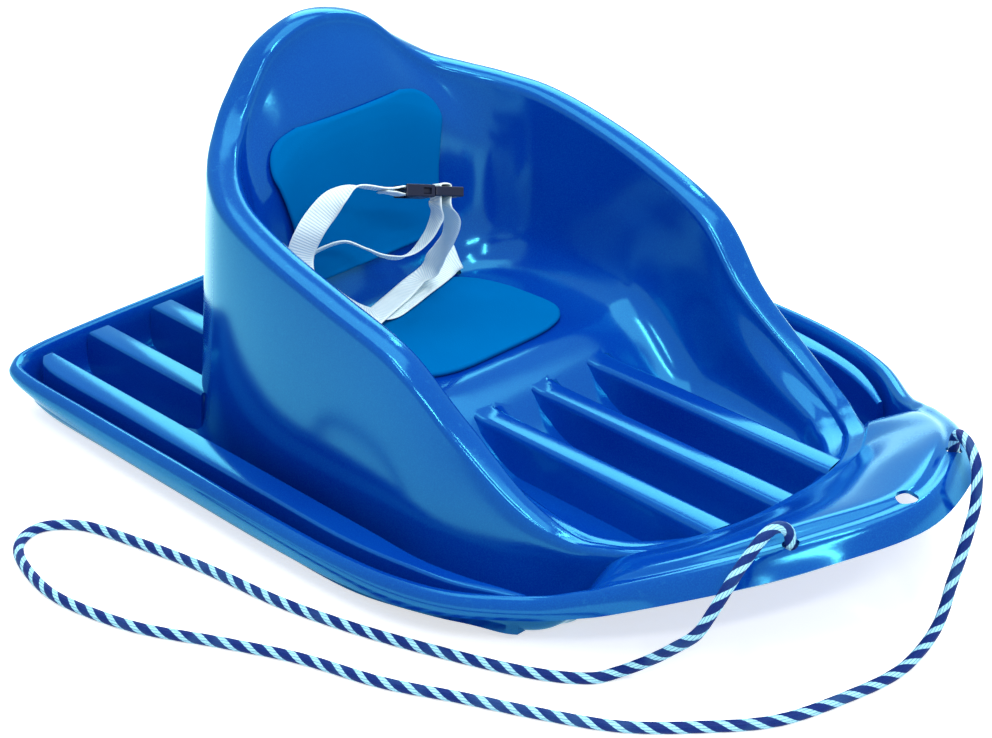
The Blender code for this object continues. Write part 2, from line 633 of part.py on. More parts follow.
def left_strap(collection, finish, frame):
    """From the left slot across the seat, up over the insert's bar and down again as a loose tail."""
    skin = 0.5 * BELT_THICKNESS + GAP
    rear = BUCKLE_CLEAR + GRIP_SHOULDER + BAR_SLOT
    middle = rear + 0.5 * LADDER_BAR
    reach = 0.5 * LADDER_BAR + skin
    top = INSERT_HALF_HEIGHT + skin
    places = slot_places(1.0)
    places += above_seat(LEFT_STRAP_OUT)
    turn = ((middle - reach, -2.0 * top), (middle - reach, -0.6 * top), (middle - reach, 0.6 * top),
            (middle - 0.95 * reach, 1.1 * top), (middle, 1.25 * top), (middle + 0.95 * reach, 1.1 * top),
            (middle + reach, 0.6 * top), (middle + reach, -0.6 * top), (middle + reach, -2.0 * top))
    places += [in_frame(frame, (along, 0.0, up), (0.0, 1.0, 0.0)) for along, up in turn]
    places += above_seat(LEFT_STRAP_TAIL)
    return strap("belt_strap_left", places, collection, finish)


def buckle_socket(collection, cutters, finish, frame):
    high = SOCKET_HALF_HEIGHT
    wide = BUCKLE_HALF_WIDTH
    socket = box("buckle_socket", (BUCKLE_REAR, -wide, -high), (0.0, wide, high), collection, finish, frame,
                 BUCKLE_BEVEL)
    inner = 0.5 * BELT_WIDTH + 2.0 * GAP
    half_bar = 0.5 * BAR_WIDTH
    mouth = BUCKLE_REAR + BAR_WIDTH
    back = mouth + BAR_SLOT
    cavity = wide - SOCKET_WALL
    window = 0.5 * ARM_LENGTH
    cuts = (
        ("strap_hole", (mouth, -inner, -2.0 * high), (back, inner, 2.0 * high)),
        ("strap_relief_top", (BUCKLE_REAR - high, -inner, half_bar), (mouth + GAP, inner, 2.0 * high)),
        ("strap_relief_bottom", (BUCKLE_REAR - high, -inner, -2.0 * high), (mouth + GAP, inner, -half_bar)),
        ("socket_cavity", (back + SOCKET_WALL, -cavity, SOCKET_WALL - high),
         (high, cavity, high - SOCKET_WALL)),
        ("socket_windows", (-window - 0.5 * window, -2.0 * wide, -ARM_HALF_HEIGHT),
         (-0.5 * window, 2.0 * wide, ARM_HALF_HEIGHT)))
    for name, low, up in cuts:
        combine(socket, as_cutter(box(name, low, up, cutters, frame=frame)), "DIFFERENCE")
    return socket


def buckle_insert(collection, cutters, finish, frame):
    high = INSERT_HALF_HEIGHT
    wide = BUCKLE_HALF_WIDTH
    insert = box("buckle_insert", (BUCKLE_CLEAR, -wide, -high), (BUCKLE_FRONT, wide, high), collection,
                 finish, frame, BUCKLE_BEVEL)
    guide = box("guide", (-ARM_LENGTH, -GUIDE_HALF_WIDTH, -GUIDE_HALF_WIDTH),
                (2.0 * GAP + BUCKLE_CLEAR, GUIDE_HALF_WIDTH, GUIDE_HALF_WIDTH), cutters, frame=frame)
    combine(insert, as_cutter(guide), "UNION")
    inner = 0.5 * BELT_WIDTH + 2.0 * GAP
    start = BUCKLE_CLEAR + GRIP_SHOULDER
    for number in range(2):
        low = (start, -inner, -2.0 * high)
        up = (start + BAR_SLOT, inner, 2.0 * high)
        slot = box(f"ladder_slot_{number + 1}", low, up, cutters, frame=frame)
        combine(insert, as_cutter(slot), "DIFFERENCE")
        start += BAR_SLOT + LADDER_BAR
    return insert


def release_arm(side, collection, finish, frame):
    """One springy arm of the insert. Its origin is where it bends."""
    outer = BUCKLE_HALF_WIDTH - SOCKET_WALL - 2.0 * GAP
    root = frame @ Matrix.Translation((BUCKLE_CLEAR - GAP, (outer - 0.5 * ARM_WIDTH) * side, 0.0))
    low = (-ARM_LENGTH, -0.5 * ARM_WIDTH, -ARM_HALF_HEIGHT + GAP)
    high = (0.0, 0.5 * ARM_WIDTH, ARM_HALF_HEIGHT - GAP)
    name = "release_arm_left" if side > 0 else "release_arm_right"
    return box(name, low, high, collection, finish, root, 0.5 * BUCKLE_BEVEL)


def strap_anchor(side, collection, finish):
    """A bar behind the back wall, longer than the slot, that holds a strap's end."""
    name = "strap_anchor_left" if side > 0 else "strap_anchor_right"
    frame = slot_frame(side) @ Matrix.Translation((-ANCHOR_DEPTH - 0.5 * ANCHOR_SIZE, 0.0, 0.0))
    half = (0.5 * ANCHOR_SIZE, 0.5 * ANCHOR_SIZE, 0.5 * ANCHOR_LENGTH)
    return box(name, [-h for h in half], half, collection, finish, frame, BUCKLE_BEVEL)


def rope_tube(name, points, radius, closed, collection, finish):
    curve = bpy.data.curves.new(name, "CURVE")
    curve.dimensions = "3D"
    spline = curve.splines.new("POLY")
    spline.points.add(len(points) - 1)
    for target, point in zip(spline.points, points):
        target.co = (*point, 1.0)
    spline.use_cyclic_u = closed
    curve.bevel_depth = radius
    curve.bevel_resolution = 3
    curve.use_fill_caps = not closed
    curve.materials.append(finish)
    made = bpy.data.objects.new(name, curve)
    collection.objects.link(made)
    return made


def rope_knot(side, collection, finish):
    """The knot under the nose that keeps the rope's end from slipping through its hole."""
    middle = Vector((ROPE_HOLE_X - KNOT_INSET, (ROPE_HOLE_Y - KNOT_INSET) * side, KNOT_HEIGHT))
    points = []
    for k in range(KNOT_POINTS):
        turn = 2.0 * math.pi * k / KNOT_POINTS
        loop = Vector((math.sin(turn) + 2.0 * math.sin(2.0 * turn),
                       (math.cos(turn) - 2.0 * math.cos(2.0 * turn)) * side, -math.sin(3.0 * turn)))
        points.append(middle + loop * KNOT_SCALE)
    name = "rope_knot_left" if side > 0 else "rope_knot_right"
    return rope_tube(name, points, KNOT_RADIUS, True, collection, finish)


def main():
    for old in list(bpy.data.objects):
        bpy.data.objects.remove(old, do_unlink=True)
    sled = bpy.data.collections.new("sled")
    cutters = bpy.data.collections.new("sled cutters")
    bpy.context.scene.collection.children.link(sled)
    bpy.context.scene.collection.children.link(cutters)
    plastic = material("blue moulded plastic", (0.0, 0.12, 0.42), 0.25)
    foam = material("blue foam", (0.0, 0.11, 0.4), 0.8)
    webbing = material("white webbing", (0.85, 0.85, 0.85), 0.7)
    dark = material("black buckle plastic", (0.01, 0.01, 0.015), 0.4)
    rope = material("blue and white rope", (0.1, 0.2, 0.5), 0.7)
    rows = shell_sections()
    surface = Surface(rows)
    frame = buckle_frame()
    build_shell(sled, cutters, plastic, surface, rows)
    seat_pad(sled, foam)
    back_pad(sled, foam, surface)
    right_strap(sled, webbing, frame)
    left_strap(sled, webbing, frame)
    buckle_socket(sled, cutters, dark, frame)
    buckle_insert(sled, cutters, dark, frame)
    for side in (1.0, -1.0):
        release_arm(side, sled, dark, frame)
        strap_anchor(side, sled, dark)
        rope_knot(side, sled, rope)
    route = [p * MM for p in smooth_line(ROPE_ROUTE, ROPE_STEPS, mirrored=False)]
    rope_tube("tow_rope", route, ROPE_RADIUS, False, sled, rope)


main()
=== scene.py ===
"""Looks of a moulded baby sled: glossy shell, foam pads, lap belt with its buckle, and a braided tow rope.

Metres, +Z up, +X to the nose and +Y to the sled's left side.
"""
import math

import bmesh
import bpy
import numpy as np
from bpy.props import FloatProperty, FloatVectorProperty, IntProperty, PointerProperty
from mathutils import Matrix, Vector
from mathutils.bvhtree import BVHTree


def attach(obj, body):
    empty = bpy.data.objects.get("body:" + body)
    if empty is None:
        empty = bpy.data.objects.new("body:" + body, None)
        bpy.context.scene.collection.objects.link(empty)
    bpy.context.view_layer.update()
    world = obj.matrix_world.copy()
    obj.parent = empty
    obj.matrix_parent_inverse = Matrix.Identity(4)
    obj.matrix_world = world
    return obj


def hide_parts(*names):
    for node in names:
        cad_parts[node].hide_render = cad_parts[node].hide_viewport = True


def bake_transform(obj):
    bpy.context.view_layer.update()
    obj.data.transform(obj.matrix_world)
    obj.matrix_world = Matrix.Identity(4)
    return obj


bl_info = {
    "name": "Moulded Baby Sled",
    "version": (1, 0, 0),
    "blender": (4, 5, 0),
    "location": "View3D > Sidebar > Sled",
    "description": "Builds a moulded baby sled with pads, a lap belt and a tow rope",
    "category": "Object",
}

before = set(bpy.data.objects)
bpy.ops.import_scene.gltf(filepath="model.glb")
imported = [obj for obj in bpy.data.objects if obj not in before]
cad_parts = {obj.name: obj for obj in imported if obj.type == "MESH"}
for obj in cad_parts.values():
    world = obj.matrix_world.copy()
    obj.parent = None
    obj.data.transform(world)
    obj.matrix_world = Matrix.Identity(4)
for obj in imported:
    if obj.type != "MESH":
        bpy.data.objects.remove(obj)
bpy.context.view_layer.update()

MM = 0.001

# Stations of the shell from the middle of the back, round the left side, to the middle of the nose
FLOOR_EDGE = (
    (-158, 0), (-158, 30), (-158, 55), (-154, 72), (-146, 82), (-134, 89), (-112, 94), (-70, 97), (-20, 98),
    (32, 98), (74, 97), (118, 94), (156, 88), (176, 81), (192, 71), (208, 50), (219, 26), (223, 0))
INNER_WALL = (
    (-194, 0, 216), (-194, 38, 212), (-192, 68, 198), (-185, 88, 184), (-175, 105, 170), (-158, 119, 160),
    (-132, 130, 150), (-86, 136, 142), (-26, 137, 131), (34, 133, 112), (77, 124, 82), (124, 118, 60),
    (164, 111, 49), (182, 101, 46), (200, 88, 46), (222, 62, 48), (234, 34, 50), (238, 0, 51))
RIM_CREST = (
    (-236, 0, 285), (-234, 45, 273), (-227, 76, 246), (-214, 98, 228), (-196, 117, 219), (-173, 134, 212),
    (-140, 149, 204), (-90, 156, 191), (-28, 156, 174), (36, 151, 151), (80, 143, 111), (129, 139, 77),
    (170, 129, 57), (192, 117, 53), (212, 101, 53), (232, 72, 57), (244, 40, 60), (248, 0, 62))
WALL_FOOT = (
    (-264, 0, 2.4), (-263, 45, 2.4), (-258, 80, 2.4), (-248, 110, 2.4), (-230, 135, 2.4), (-203, 157, 2.4),
    (-160, 174, 2.4), (-95, 184, 2.4), (-28, 185, 2.4), (42, 183, 2.4), (90, 179, 2.4), (134, 169, 2.4),
    (165, 153, 4), (187, 140, 6), (206, 126, 50), (240, 89, 62), (257, 46, 67), (263, 0, 69))
LIP_FOOT = (
    (-344, 0, 2.4), (-344, 73, 2.4), (-344, 134, 2.4), (-342, 192, 2.4), (-335, 216, 2.4), (-312, 226, 2.4),
    (-225, 226, 2.4), (-118, 226, 2.4), (-30, 226, 3), (48, 224, 6), (100, 217, 14), (147, 203, 20),
    (176, 180, 10), (197, 165, 20), (226, 152, 56), (278, 112, 82), (311, 68, 96), (338, 0, 102))
LIP_EDGE = (
    (-362, 0), (-362, 75), (-362, 140), (-359, 203), (-348, 230), (-320, 242), (-230, 243), (-120, 243),
    (-30, 243), (50, 241), (105, 234), (152, 219), (196, 191), (222, 176), (245, 162), (293, 124), (332, 74),
    (359, 0))
LIP_TOP = (41, 41, 41, 41, 41, 41, 41, 41, 41, 41, 41, 42, 45, 53, 62, 81, 94, 101)
LIP_BOTTOM = (22, 22, 22, 22, 22, 22, 22, 22, 22, 22, 23, 26, 30, 37, 45, 66, 80, 84)
LIP_TUCK = (2, 2, 4, 8, 11, 8, 3, 2, 2, 2, 2, 2, 1, 0, -1, -6, -7, -3)
RIM_FADE = (1, 1, 1, 1, 1, 1, 1, 1, 1, 1, 0.9, 0.6, 0.25, 0.15, 0.1, 0.05, 0, 0)

# The floor slopes from the seat down to the foot well between these places along the sled, in millimetres
SLOPE_START = -25.0
SLOPE_END = 60.0

# The floor's sections start on a line along the middle of the tub, and its edge turns up into the wall in a fillet
SPINE_START = -110.0
SPINE_LENGTH = 290.0
FILLET_OUT = 0.55
FILLET_UP = 0.2

# The rolled rim beside its flat top, in millimetres: how far its edge dips, and how far out and down it then turns
RIM_DIP = 2.6
RIM_SPREAD = 2.5
RIM_DEPTH = 12

# The five points across the rim where it has faded into the nose: across and down, in millimetres
NOSE_EDGE = ((-3.0, 4.0), (-1.2, 1.2), (0.0, 0.0), (3.0, -1.3), (9.0, -4.0))

# The pan's rise to the lip at half its width, and the lip's roll: in from its edge and below its top, in millimetres
PAN_RISE = 0.6
LIP_ROLL = ((12.5, 2), (6, 0), (0, 7))

# The pan's ribs, in millimetres. Each point of a side rib's line gives its place along the sled, its outer edge,
# its height and its inner edge
REAR_RIB_PLACES = (30, 89, 150)
SIDE_RIB_LINE = (
    (-336, 207, 39, 197), (-322, 215, 39, 197), (-200, 218, 39, 197), (-50, 218, 39, 197), (45, 217, 39, 197),
    (100, 210, 39, 197), (135, 202, 38, 190), (158, 191, 36.5, 182), (176, 180, 34, 174))
SIDE_RIB_STEPS = (5, 8, 10, 8, 6, 6, 5, 5)
PAN_RIB_TOP = 39
PAN_RIB_REAR = -343
RIB_FLARE = 4.0
LEAST_ROUND = 0.4

# How far a rear rib runs on into the wall, solid and hollow, and how far down a hollow reaches, in millimetres
RIB_REACH = 12.0
HOLLOW_REACH = 45.0
HOLLOW_DEPTH = 30.0

# The foot well's ribs, in millimetres. Their fronts are found from the well's middle, at heights where the
# crossbar's wall is steep. Above these the ribs run further into the crossbar, and a hollow stops short of it
WELL_RIB_SPACING = 56
WELL_RIB_HALF = 10.5
WELL_RIB_TOP = 58
WELL_RIB_REAR = 5
WELL_RIB_STEPS = 16
WELL_MIDDLE = 150.0
CROSSBAR_LOW = 40.0
CROSSBAR_HIGH = 52.0
CROSSBAR_REACH = 4.5
HOLLOW_SHORT = 1.2

# Holes and slots, in millimetres: places, radii, and how far their cutters reach
ROPE_HOLE = (318, 80)
ROPE_HOLE_RADIUS = 5.5
NOSE_HOLE = (344, 0)
NOSE_HOLE_RADIUS = 7.5
HOLE_HEIGHTS = (70.0, 210.0)
SLOT_PLACE = (-163, 67, 79)
SLOT_HALF = 10.5
SLOT_RADIUS = 2.5
SLOT_CUT = 16.0
SLOT_LEAN = math.radians(38.0)
SLOT_TOE = math.radians(12.0)

# Edges of the shell sharper than this stay sharp
SHARP_EDGE = math.radians(38.0)

# How far the scuffs reach from the rim's crest and from the lip's edge, in millimetres
RIM_SCUFF = 16.0
LIP_SCUFF = 9.0

# Pads, in millimetres: half widths along the seat, and up the back
SEAT_PAD_OUTLINE = (
    (-154, 36), (-151, 48), (-146, 55), (-135, 63), (-120, 69), (-100, 73), (-70, 75), (-55, 74), (-45, 69),
    (-37, 60), (-32, 46), (-30, 30))
BACK_PAD_OUTLINE = (
    (100, 54), (103, 61), (111, 66), (125, 70), (145, 71), (165, 75), (180, 79), (190, 82), (200, 80), (208, 74),
    (214, 64), (218, 50))

# How far the pads lie off the moulding, in millimetres
SEAT_PAD_GAP = 0.6
BACK_PAD_GAP = 1.4

# The pads' rows of points: this many across, and extra ones this far in from both ends, in millimetres
PAD_COLUMNS = 48
PAD_EDGE_ROWS = (0.35, 0.9, 1.7, 2.6)

# Straps: each place in millimetres with the direction of the webbing's width
RIGHT_STRAP = (
    ((-152, -71, 88), (-0.5, 0.2, 0.8)), ((-146, -84, 101), (0.4, 0.7, 0.5)), ((-148, -91, 120), (0.66, 0.73, 0)),
    ((-153, -88, 139), (0.68, 0.73, -0.05)), ((-149, -81, 157), (0.72, 0.68, -0.1)),
    ((-146, -70, 170), (0.78, 0.5, -0.1)), ((-140, -58, 182), (0.85, 0.2, 0.1)), ((-135, -46, 187), (0.88, 0, 0.3)))
LEFT_STRAP_OUT = (
    ((-157, 57, 82), (-0.5, -0.2, 0.6)), ((-152, 42, 79.5), (-0.9, -0.3, 0.3)),
    ((-146, 20, 76.4), (-0.93, -0.36, 0)), ((-137, -8, 76.4), (-0.93, -0.3, 0)), ((-133, -27, 77.6), (-0.95, 0, 0.1)),
    ((-136, -41, 82), (-0.8, 0.5, 0)), ((-146, -51, 91), (-0.66, 0.6, -0.2)), ((-157, -61, 105), (-0.66, 0.6, -0.3)),
    ((-163, -70, 118), (-0.66, 0.6, -0.35)), ((-162, -71, 131), (-0.66, 0.58, -0.47)),
    ((-158, -60, 136), (-0.66, 0.58, -0.47)), ((-152, -46, 137), (-0.66, 0.58, -0.47)),
    ((-144, -34, 130), (-0.66, 0.58, -0.47)), ((-136, -24, 123), (-0.7, 0.5, -0.5)),
    ((-128, -15, 121), (-0.75, 0.35, -0.5)), ((-120, -6, 127), (-0.85, 0.2, -0.45)),
    ((-113, 2, 139), (-0.89, 0.2, -0.4)), ((-108, 6, 153), (-0.89, 0.2, -0.4)))
LEFT_STRAP_TAIL = (
    ((-106, 19, 149), (-0.89, 0.2, -0.4)), ((-115, 24, 133), (-0.85, 0.3, -0.42)),
    ((-127, 28, 116), (-0.8, 0.3, -0.5)), ((-139, 30, 101), (-0.8, 0.1, -0.55)), ((-149, 28, 88), (-0.88, -0.1, -0.4)),
    ((-153, 18, 81.5), (-0.93, -0.3, -0.15)), ((-146, -4, 79), (-0.93, -0.36, 0)), ((-134, -33, 80), (-0.93, -0.36, 0)),
    ((-127, -55, 78), (-0.93, -0.36, 0)))

# The webbing: gap to what it passes round, and the length of one woven rib, in millimetres
STRAP_GAP = 0.3
WEAVE_RIB = 2.1
STRAP_COLUMNS = 12

# Where a strap passes its slot, in millimetres from the slot's middle into the seat
SLOT_STATIONS = (-10.7, 0.0, 8.0)

# Buckle: its middle in millimetres, and its directions
BUCKLE_PLACE = (-111.0, 3.0, 173.5)
BUCKLE_ALONG = (0.317, 0.916, -0.245)
BUCKLE_ACROSS = (-0.893, 0.202, -0.402)

# The bars that the straps turn round, in millimetres along the buckle, and half their sizes
SOCKET_BAR = -21.4
SOCKET_BAR_HALF = 1.6
INSERT_BAR = 9.8
INSERT_BAR_HALF = 3.0
INSERT_BAR_HEIGHT = 3.6

# The rope's route in millimetres, from the right hole round on the ground to the left hole
ROPE_ROUTE = (
    (318, -80, 86.4), (318, -80, 93), (318, -82, 100.5), (317.5, -87.5, 106), (317, -95, 108), (316.5, -102.5, 106),
    (315.5, -109, 101), (314.5, -115, 95.5), (314, -122, 90), (312, -131, 79), (308, -140, 64), (300, -146, 47),
    (286, -151, 33), (270, -155, 19), (252, -166, 6.5), (240, -183, 4), (209, -204, 4), (157, -226, 4),
    (93, -248, 4), (28, -264, 4), (-47, -274, 4), (-121, -290, 4), (-154, -301, 4), (-172, -321, 4), (-167, -342, 4),
    (-145, -356, 4), (-102, -365, 4), (-64, -362, 4), (-15, -348, 4), (37, -321, 4), (90, -296, 4), (148, -277, 4),
    (197, -253, 4), (246, -230, 4), (291, -205, 4), (327, -171, 4), (357, -132, 4), (372, -78, 4), (376, -44, 4),
    (374, -19, 7), (370, 1, 12), (368.5, 11, 22), (367.5, 18, 35), (367, 25, 47), (366, 32, 58), (365, 38, 69),
    (364, 44, 81), (361, 49, 93), (356, 55, 101.5), (349, 60.5, 106), (341, 66, 108.5), (331, 72, 108.5),
    (324.4, 76, 106), (319.7, 79, 100.5), (318, 80, 93), (318, 80, 86.4))

# The braid: patches round the rope, turns of a strand in one repeat, and the dark share of a repeat
BRAID_PATCHES = 2.0
BRAID_SLANT = 0.14
BRAID_DARK = 0.6

# The braid's skin, in millimetres: step along, lift of a strand and of a stitch, and how deep the lowest place is
BRAID_STEP = 1.15
STRAND_LIFT = 0.24
STITCH_LIFT = 0.12
BRAID_DEPTH = 0.26

# The knots under the nose, in millimetres: in from the rope hole, height, and size
KNOT_INSET = 6.0
KNOT_HEIGHT = 78.4
KNOT_SIZE = 4.0
KNOT_STEPS = 96

# How finely each stretch of the shell's section is sampled, from the middle of the floor out to the lip, and which
# of the stretches start at the rim's outside, at the wall's foot and at the lip's foot
SECTION_STEPS = (3, 3, 4, 5, 12, 4, 3, 4, 4, 3, 9, 11, 6, 6, 6, 3, 4, 4)
RIM_OUTSIDE = 10
PAN_START = 12
LIP_START = 14
STATION_STEPS = 9
SMOOTHING_PASSES = 4

# The plastic's surface layer: how strongly it reflects at each angle, and how rough it is
SHEEN_IOR = 1.75
SHEEN_ROUGHNESS = 0.14

# Lamps: place, the point each faces, its size, and its share of the key light's power
LAMPS = {
    "overhead": ((-0.2, 0.4, 2.2), (0.0, 0.0, 0.05), (2.2, 1.6), 0.85),
    "softbox": ((-1.5, 1.6, 1.25), (0.0, 0.0, 0.05), (1.8, 1.0), 0.75),
    "nose_strip": ((1.58, -0.6, 1.5), (0.3, 0.0, 0.09), (0.9, 0.12), 0.34),
    "window": ((-0.55, 1.9, 1.75), (0.05, 0.1, 0.08), (0.16, 0.45), 0.14),
    "side_strip": ((0.70, -0.89, 1.9), (-0.2, -0.1, 0.2), (0.1, 0.7), 0.22),
    "top_strip": ((0.72, 0.0, 2.1), (0.0, 0.0, 0.15), (0.14, 0.9), 0.34),
}
WHITE = (1.0, 1.0, 1.0)
ROOM_COLOUR = (0.84, 0.97, 1.0)
FLOOR_COLOUR = (0.86, 0.86, 0.85)
FLOOR_GLOW = 0.62
FLOOR_HALF = 9.0


class SledMoulding(bpy.types.PropertyGroup):
    wall: FloatProperty(name="Wall", description="Thickness of the moulded wall", default=2.4 * MM, unit="LENGTH")
    rim_half: FloatProperty(name="Rim", description="Half the rolled rim's width on top", default=10.5 * MM,
                            unit="LENGTH")
    rib_half: FloatProperty(name="Rib", description="Half a pan rib's width on top", default=10.0 * MM, unit="LENGTH")
    rib_round: FloatProperty(name="Rib edge", description="Rounding of the ribs' edges", default=2.6 * MM,
                             unit="LENGTH")
    well_round: FloatProperty(name="Well rib edge", description="Rounding of the foot well ribs' edges",
                              default=5.0 * MM, unit="LENGTH")
    seat_height: FloatProperty(name="Seat height", description="Height of the seat's floor", default=70.0 * MM,
                               unit="LENGTH")
    well_height: FloatProperty(name="Foot well", description="Height of the foot well's floor", default=28.5 * MM,
                               unit="LENGTH")
    colour: FloatVectorProperty(name="Colour", description="Colour of the moulded plastic", subtype="COLOR",
                                default=(0.0, 0.032, 0.30))
    shade: FloatVectorProperty(name="Deep colour", description="Colour of the thicker, darker places",
                               subtype="COLOR", default=(0.0, 0.02, 0.27))
    sheen: FloatVectorProperty(name="Sheen", description="Tint of the plastic's reflections", subtype="COLOR",
                               default=(0.13, 0.86, 1.0))


class SledPads(bpy.types.PropertyGroup):
    thickness: FloatProperty(name="Thickness", description="Thickness of the foam", default=4.0 * MM, unit="LENGTH")
    rounding: FloatProperty(name="Edge", description="Rounding of the foam's edge", default=2.6 * MM, unit="LENGTH")
    colour: FloatVectorProperty(name="Colour", description="Colour of the foam", subtype="COLOR",
                                default=(0.0, 0.115, 0.35))


class SledBelt(bpy.types.PropertyGroup):
    width: FloatProperty(name="Width", description="Width of the webbing", default=20.0 * MM, unit="LENGTH")
    thickness: FloatProperty(name="Thickness", description="Thickness of the webbing", default=1.5 * MM,
                             unit="LENGTH")
    colour: FloatVectorProperty(name="Colour", description="Colour of the webbing", subtype="COLOR",
                                default=(0.9, 0.99, 0.96))
    buckle: FloatVectorProperty(name="Buckle", description="Colour of the buckle", subtype="COLOR",
                                default=(0.003, 0.008, 0.03))


class SledRope(bpy.types.PropertyGroup):
    diameter: FloatProperty(name="Diameter", description="Diameter of the rope", default=7.5 * MM, unit="LENGTH")
    strands: IntProperty(name="Strands", description="Strands seen round the rope", default=12)
    repeat: FloatProperty(name="Repeat", description="Length of one dark and one pale patch", default=17.0 * MM,
                          unit="LENGTH")
    dark: FloatVectorProperty(name="Dark", description="Colour of the dark strands", subtype="COLOR",
                              default=(0.0, 0.012, 0.13))
    pale: FloatVectorProperty(name="Pale", description="Colour of the pale strands", subtype="COLOR",
                              default=(0.42, 0.8, 0.92))


class SledStage(bpy.types.PropertyGroup):
    lens: FloatProperty(name="Lens", description="Focal length of the camera", default=92.25, unit="CAMERA")
    place: FloatVectorProperty(name="Camera", description="Place of the camera", subtype="TRANSLATION",
                               default=(1.20840, -1.09175, 0.93247))
    yaw: FloatProperty(name="Yaw", description="Heading of the camera", default=2.423999, subtype="ANGLE")
    pitch: FloatProperty(name="Pitch", description="How far the camera looks down", default=0.487709,
                         subtype="ANGLE")
    roll: FloatProperty(name="Roll", description="Tilt of the camera", default=-0.051192, subtype="ANGLE")
    key: FloatProperty(name="Key light", description="Power of the overhead light", default=34.0, unit="POWER")
    fill: FloatProperty(name="Room light", description="Strength of the room's light", default=0.72)


class Value:
    """An output of a node, in expressions that add their own Math nodes."""

    def __init__(self, finish, socket):
        self.finish = finish
        self.socket = socket

    def maths(self, operation, *values):
        return self.finish.add("ShaderNodeMath", {"operation": operation}, dict(enumerate(values)))

    def __add__(self, other):
        return self.maths("ADD", self, other)

    def __radd__(self, other):
        return self.maths("ADD", other, self)

    def __sub__(self, other):
        return self.maths("SUBTRACT", self, other)

    def __rsub__(self, other):
        return self.maths("SUBTRACT", other, self)

    def __mul__(self, other):
        return self.maths("MULTIPLY", self, other)

    def __rmul__(self, other):
        return self.maths("MULTIPLY", other, self)

    def __truediv__(self, other):
        return self.maths("DIVIDE", self, other)

    def fraction(self):
        return self.maths("FRACT", self)

    def sine(self):
        return self.maths("SINE", self)

    def size(self):
        return self.maths("ABSOLUTE", self)

    def between(self, low, high):
        """0 at low and below, 1 at high and above, smooth between."""
        return self.finish.add("ShaderNodeMapRange", {"interpolation_type": "SMOOTHSTEP"},
                               {"Value": self, "From Min": low, "From Max": high})


class Finish:
    """The nodes of one material, or of the world round the sled."""

    def __init__(self, made):
        self.made = made
        made.use_nodes = True
        self.nodes = made.node_tree.nodes
        self.links = made.node_tree.links
        self.shader = self.nodes.get("Principled BSDF") or self.nodes["Background"]
        self.surface = (self.nodes.get("Material Output") or self.nodes["World Output"]).inputs["Surface"]

    def add(self, kind, settings=(), values=(), output=0):
        """Adds a node: its settings first, then values or links for its sockets."""
        node = self.nodes.new(kind)
        for name, setting in dict(settings).items():
            setattr(node, name, setting)
        for name, value in dict(values).items():
            self.feed(node.inputs[name], value)
        return Value(self, node.outputs[output])

    def feed(self, socket, value):
        """Links a value to a socket, or sets it there when it is a plain number or colour."""
        if isinstance(value, Value):
            self.links.new(value.socket, socket)
        elif socket.type == "RGBA" and len(value) == 3:
            socket.default_value = (*value, 1.0)
        else:
            socket.default_value = value

    def set(self, **values):
        """Feeds the sockets of the finish's own shader, an underscore standing for a space in their names."""
        for name, value in values.items():
            self.feed(self.shader.inputs[name.replace("_", " ")], value)

    def own(self):
        """What the finish's own shader gives."""
        return Value(self, self.shader.outputs[0])

    def direct(self):
        """1 for what is seen straight, in a reflection or through glass, and 0 for light on its way to the sled."""
        camera = self.add("ShaderNodeLightPath", output="Is Camera Ray")
        rays = camera.socket.node.outputs
        return camera + Value(self, rays["Is Glossy Ray"]) + Value(self, rays["Is Transmission Ray"])

    def colours(self, factor, low, high):
        """The low colour where the factor is 0, the high one where it is 1."""
        return self.add("ShaderNodeMix", {"data_type": "RGBA"}, {0: factor, 6: low, 7: high}, 2)

    def place(self):
        return self.add("ShaderNodeTexCoord", output="Object")

    def noise(self, scale, detail=2.0, roughness=0.5):
        return self.add("ShaderNodeTexNoise", {}, {
            "Vector": self.place(), "Scale": scale, "Detail": detail, "Roughness": roughness})

    def bump(self, height, strength, distance, after=None):
        values = {"Height": height, "Strength": strength, "Distance": distance}
        if after is not None:
            values["Normal"] = after
        return self.add("ShaderNodeBump", {}, values)

    def attribute(self, name):
        return self.add("ShaderNodeAttribute", {"attribute_name": name}, output="Fac")

    def strip(self):
        """Metres along a strap or rope, and 0 to 1 across or round it."""
        along = self.add("ShaderNodeSeparateXYZ", {}, {0: self.add("ShaderNodeUVMap", {"uv_map": "strip"})})
        return along, Value(self, along.socket.node.outputs["Y"])


def smooth_line(points, steps, mirrored=False):
    """Samples a smooth curve through the points. A mirrored one meets its reflection across the middle."""
    points = [Vector(p) for p in points]
    if mirrored:
        flip = Vector([-1.0 if axis == 1 else 1.0 for axis in range(len(points[0]))])
        before = Vector([a * b for a, b in zip(points[1], flip)])
        after = Vector([a * b for a, b in zip(points[-2], flip)])
    else:
        before = 2 * points[0] - points[1]
        after = 2 * points[-1] - points[-2]
    ring = [before, *points, after]
    samples = []
    for index in range(1, len(ring) - 2):
        a, b, c, d = ring[index - 1:index + 3]
        many = steps if isinstance(steps, int) else steps[index - 1]
        for step in range(many):
            t = step / many
            samples.append(0.5 * ((2 * b) + (c - a) * t + (2 * a - 5 * b + 4 * c - d) * t * t
                                  + (3 * b - a - 3 * c + d) * t * t * t))
    samples.append(points[-1].copy())
    return samples


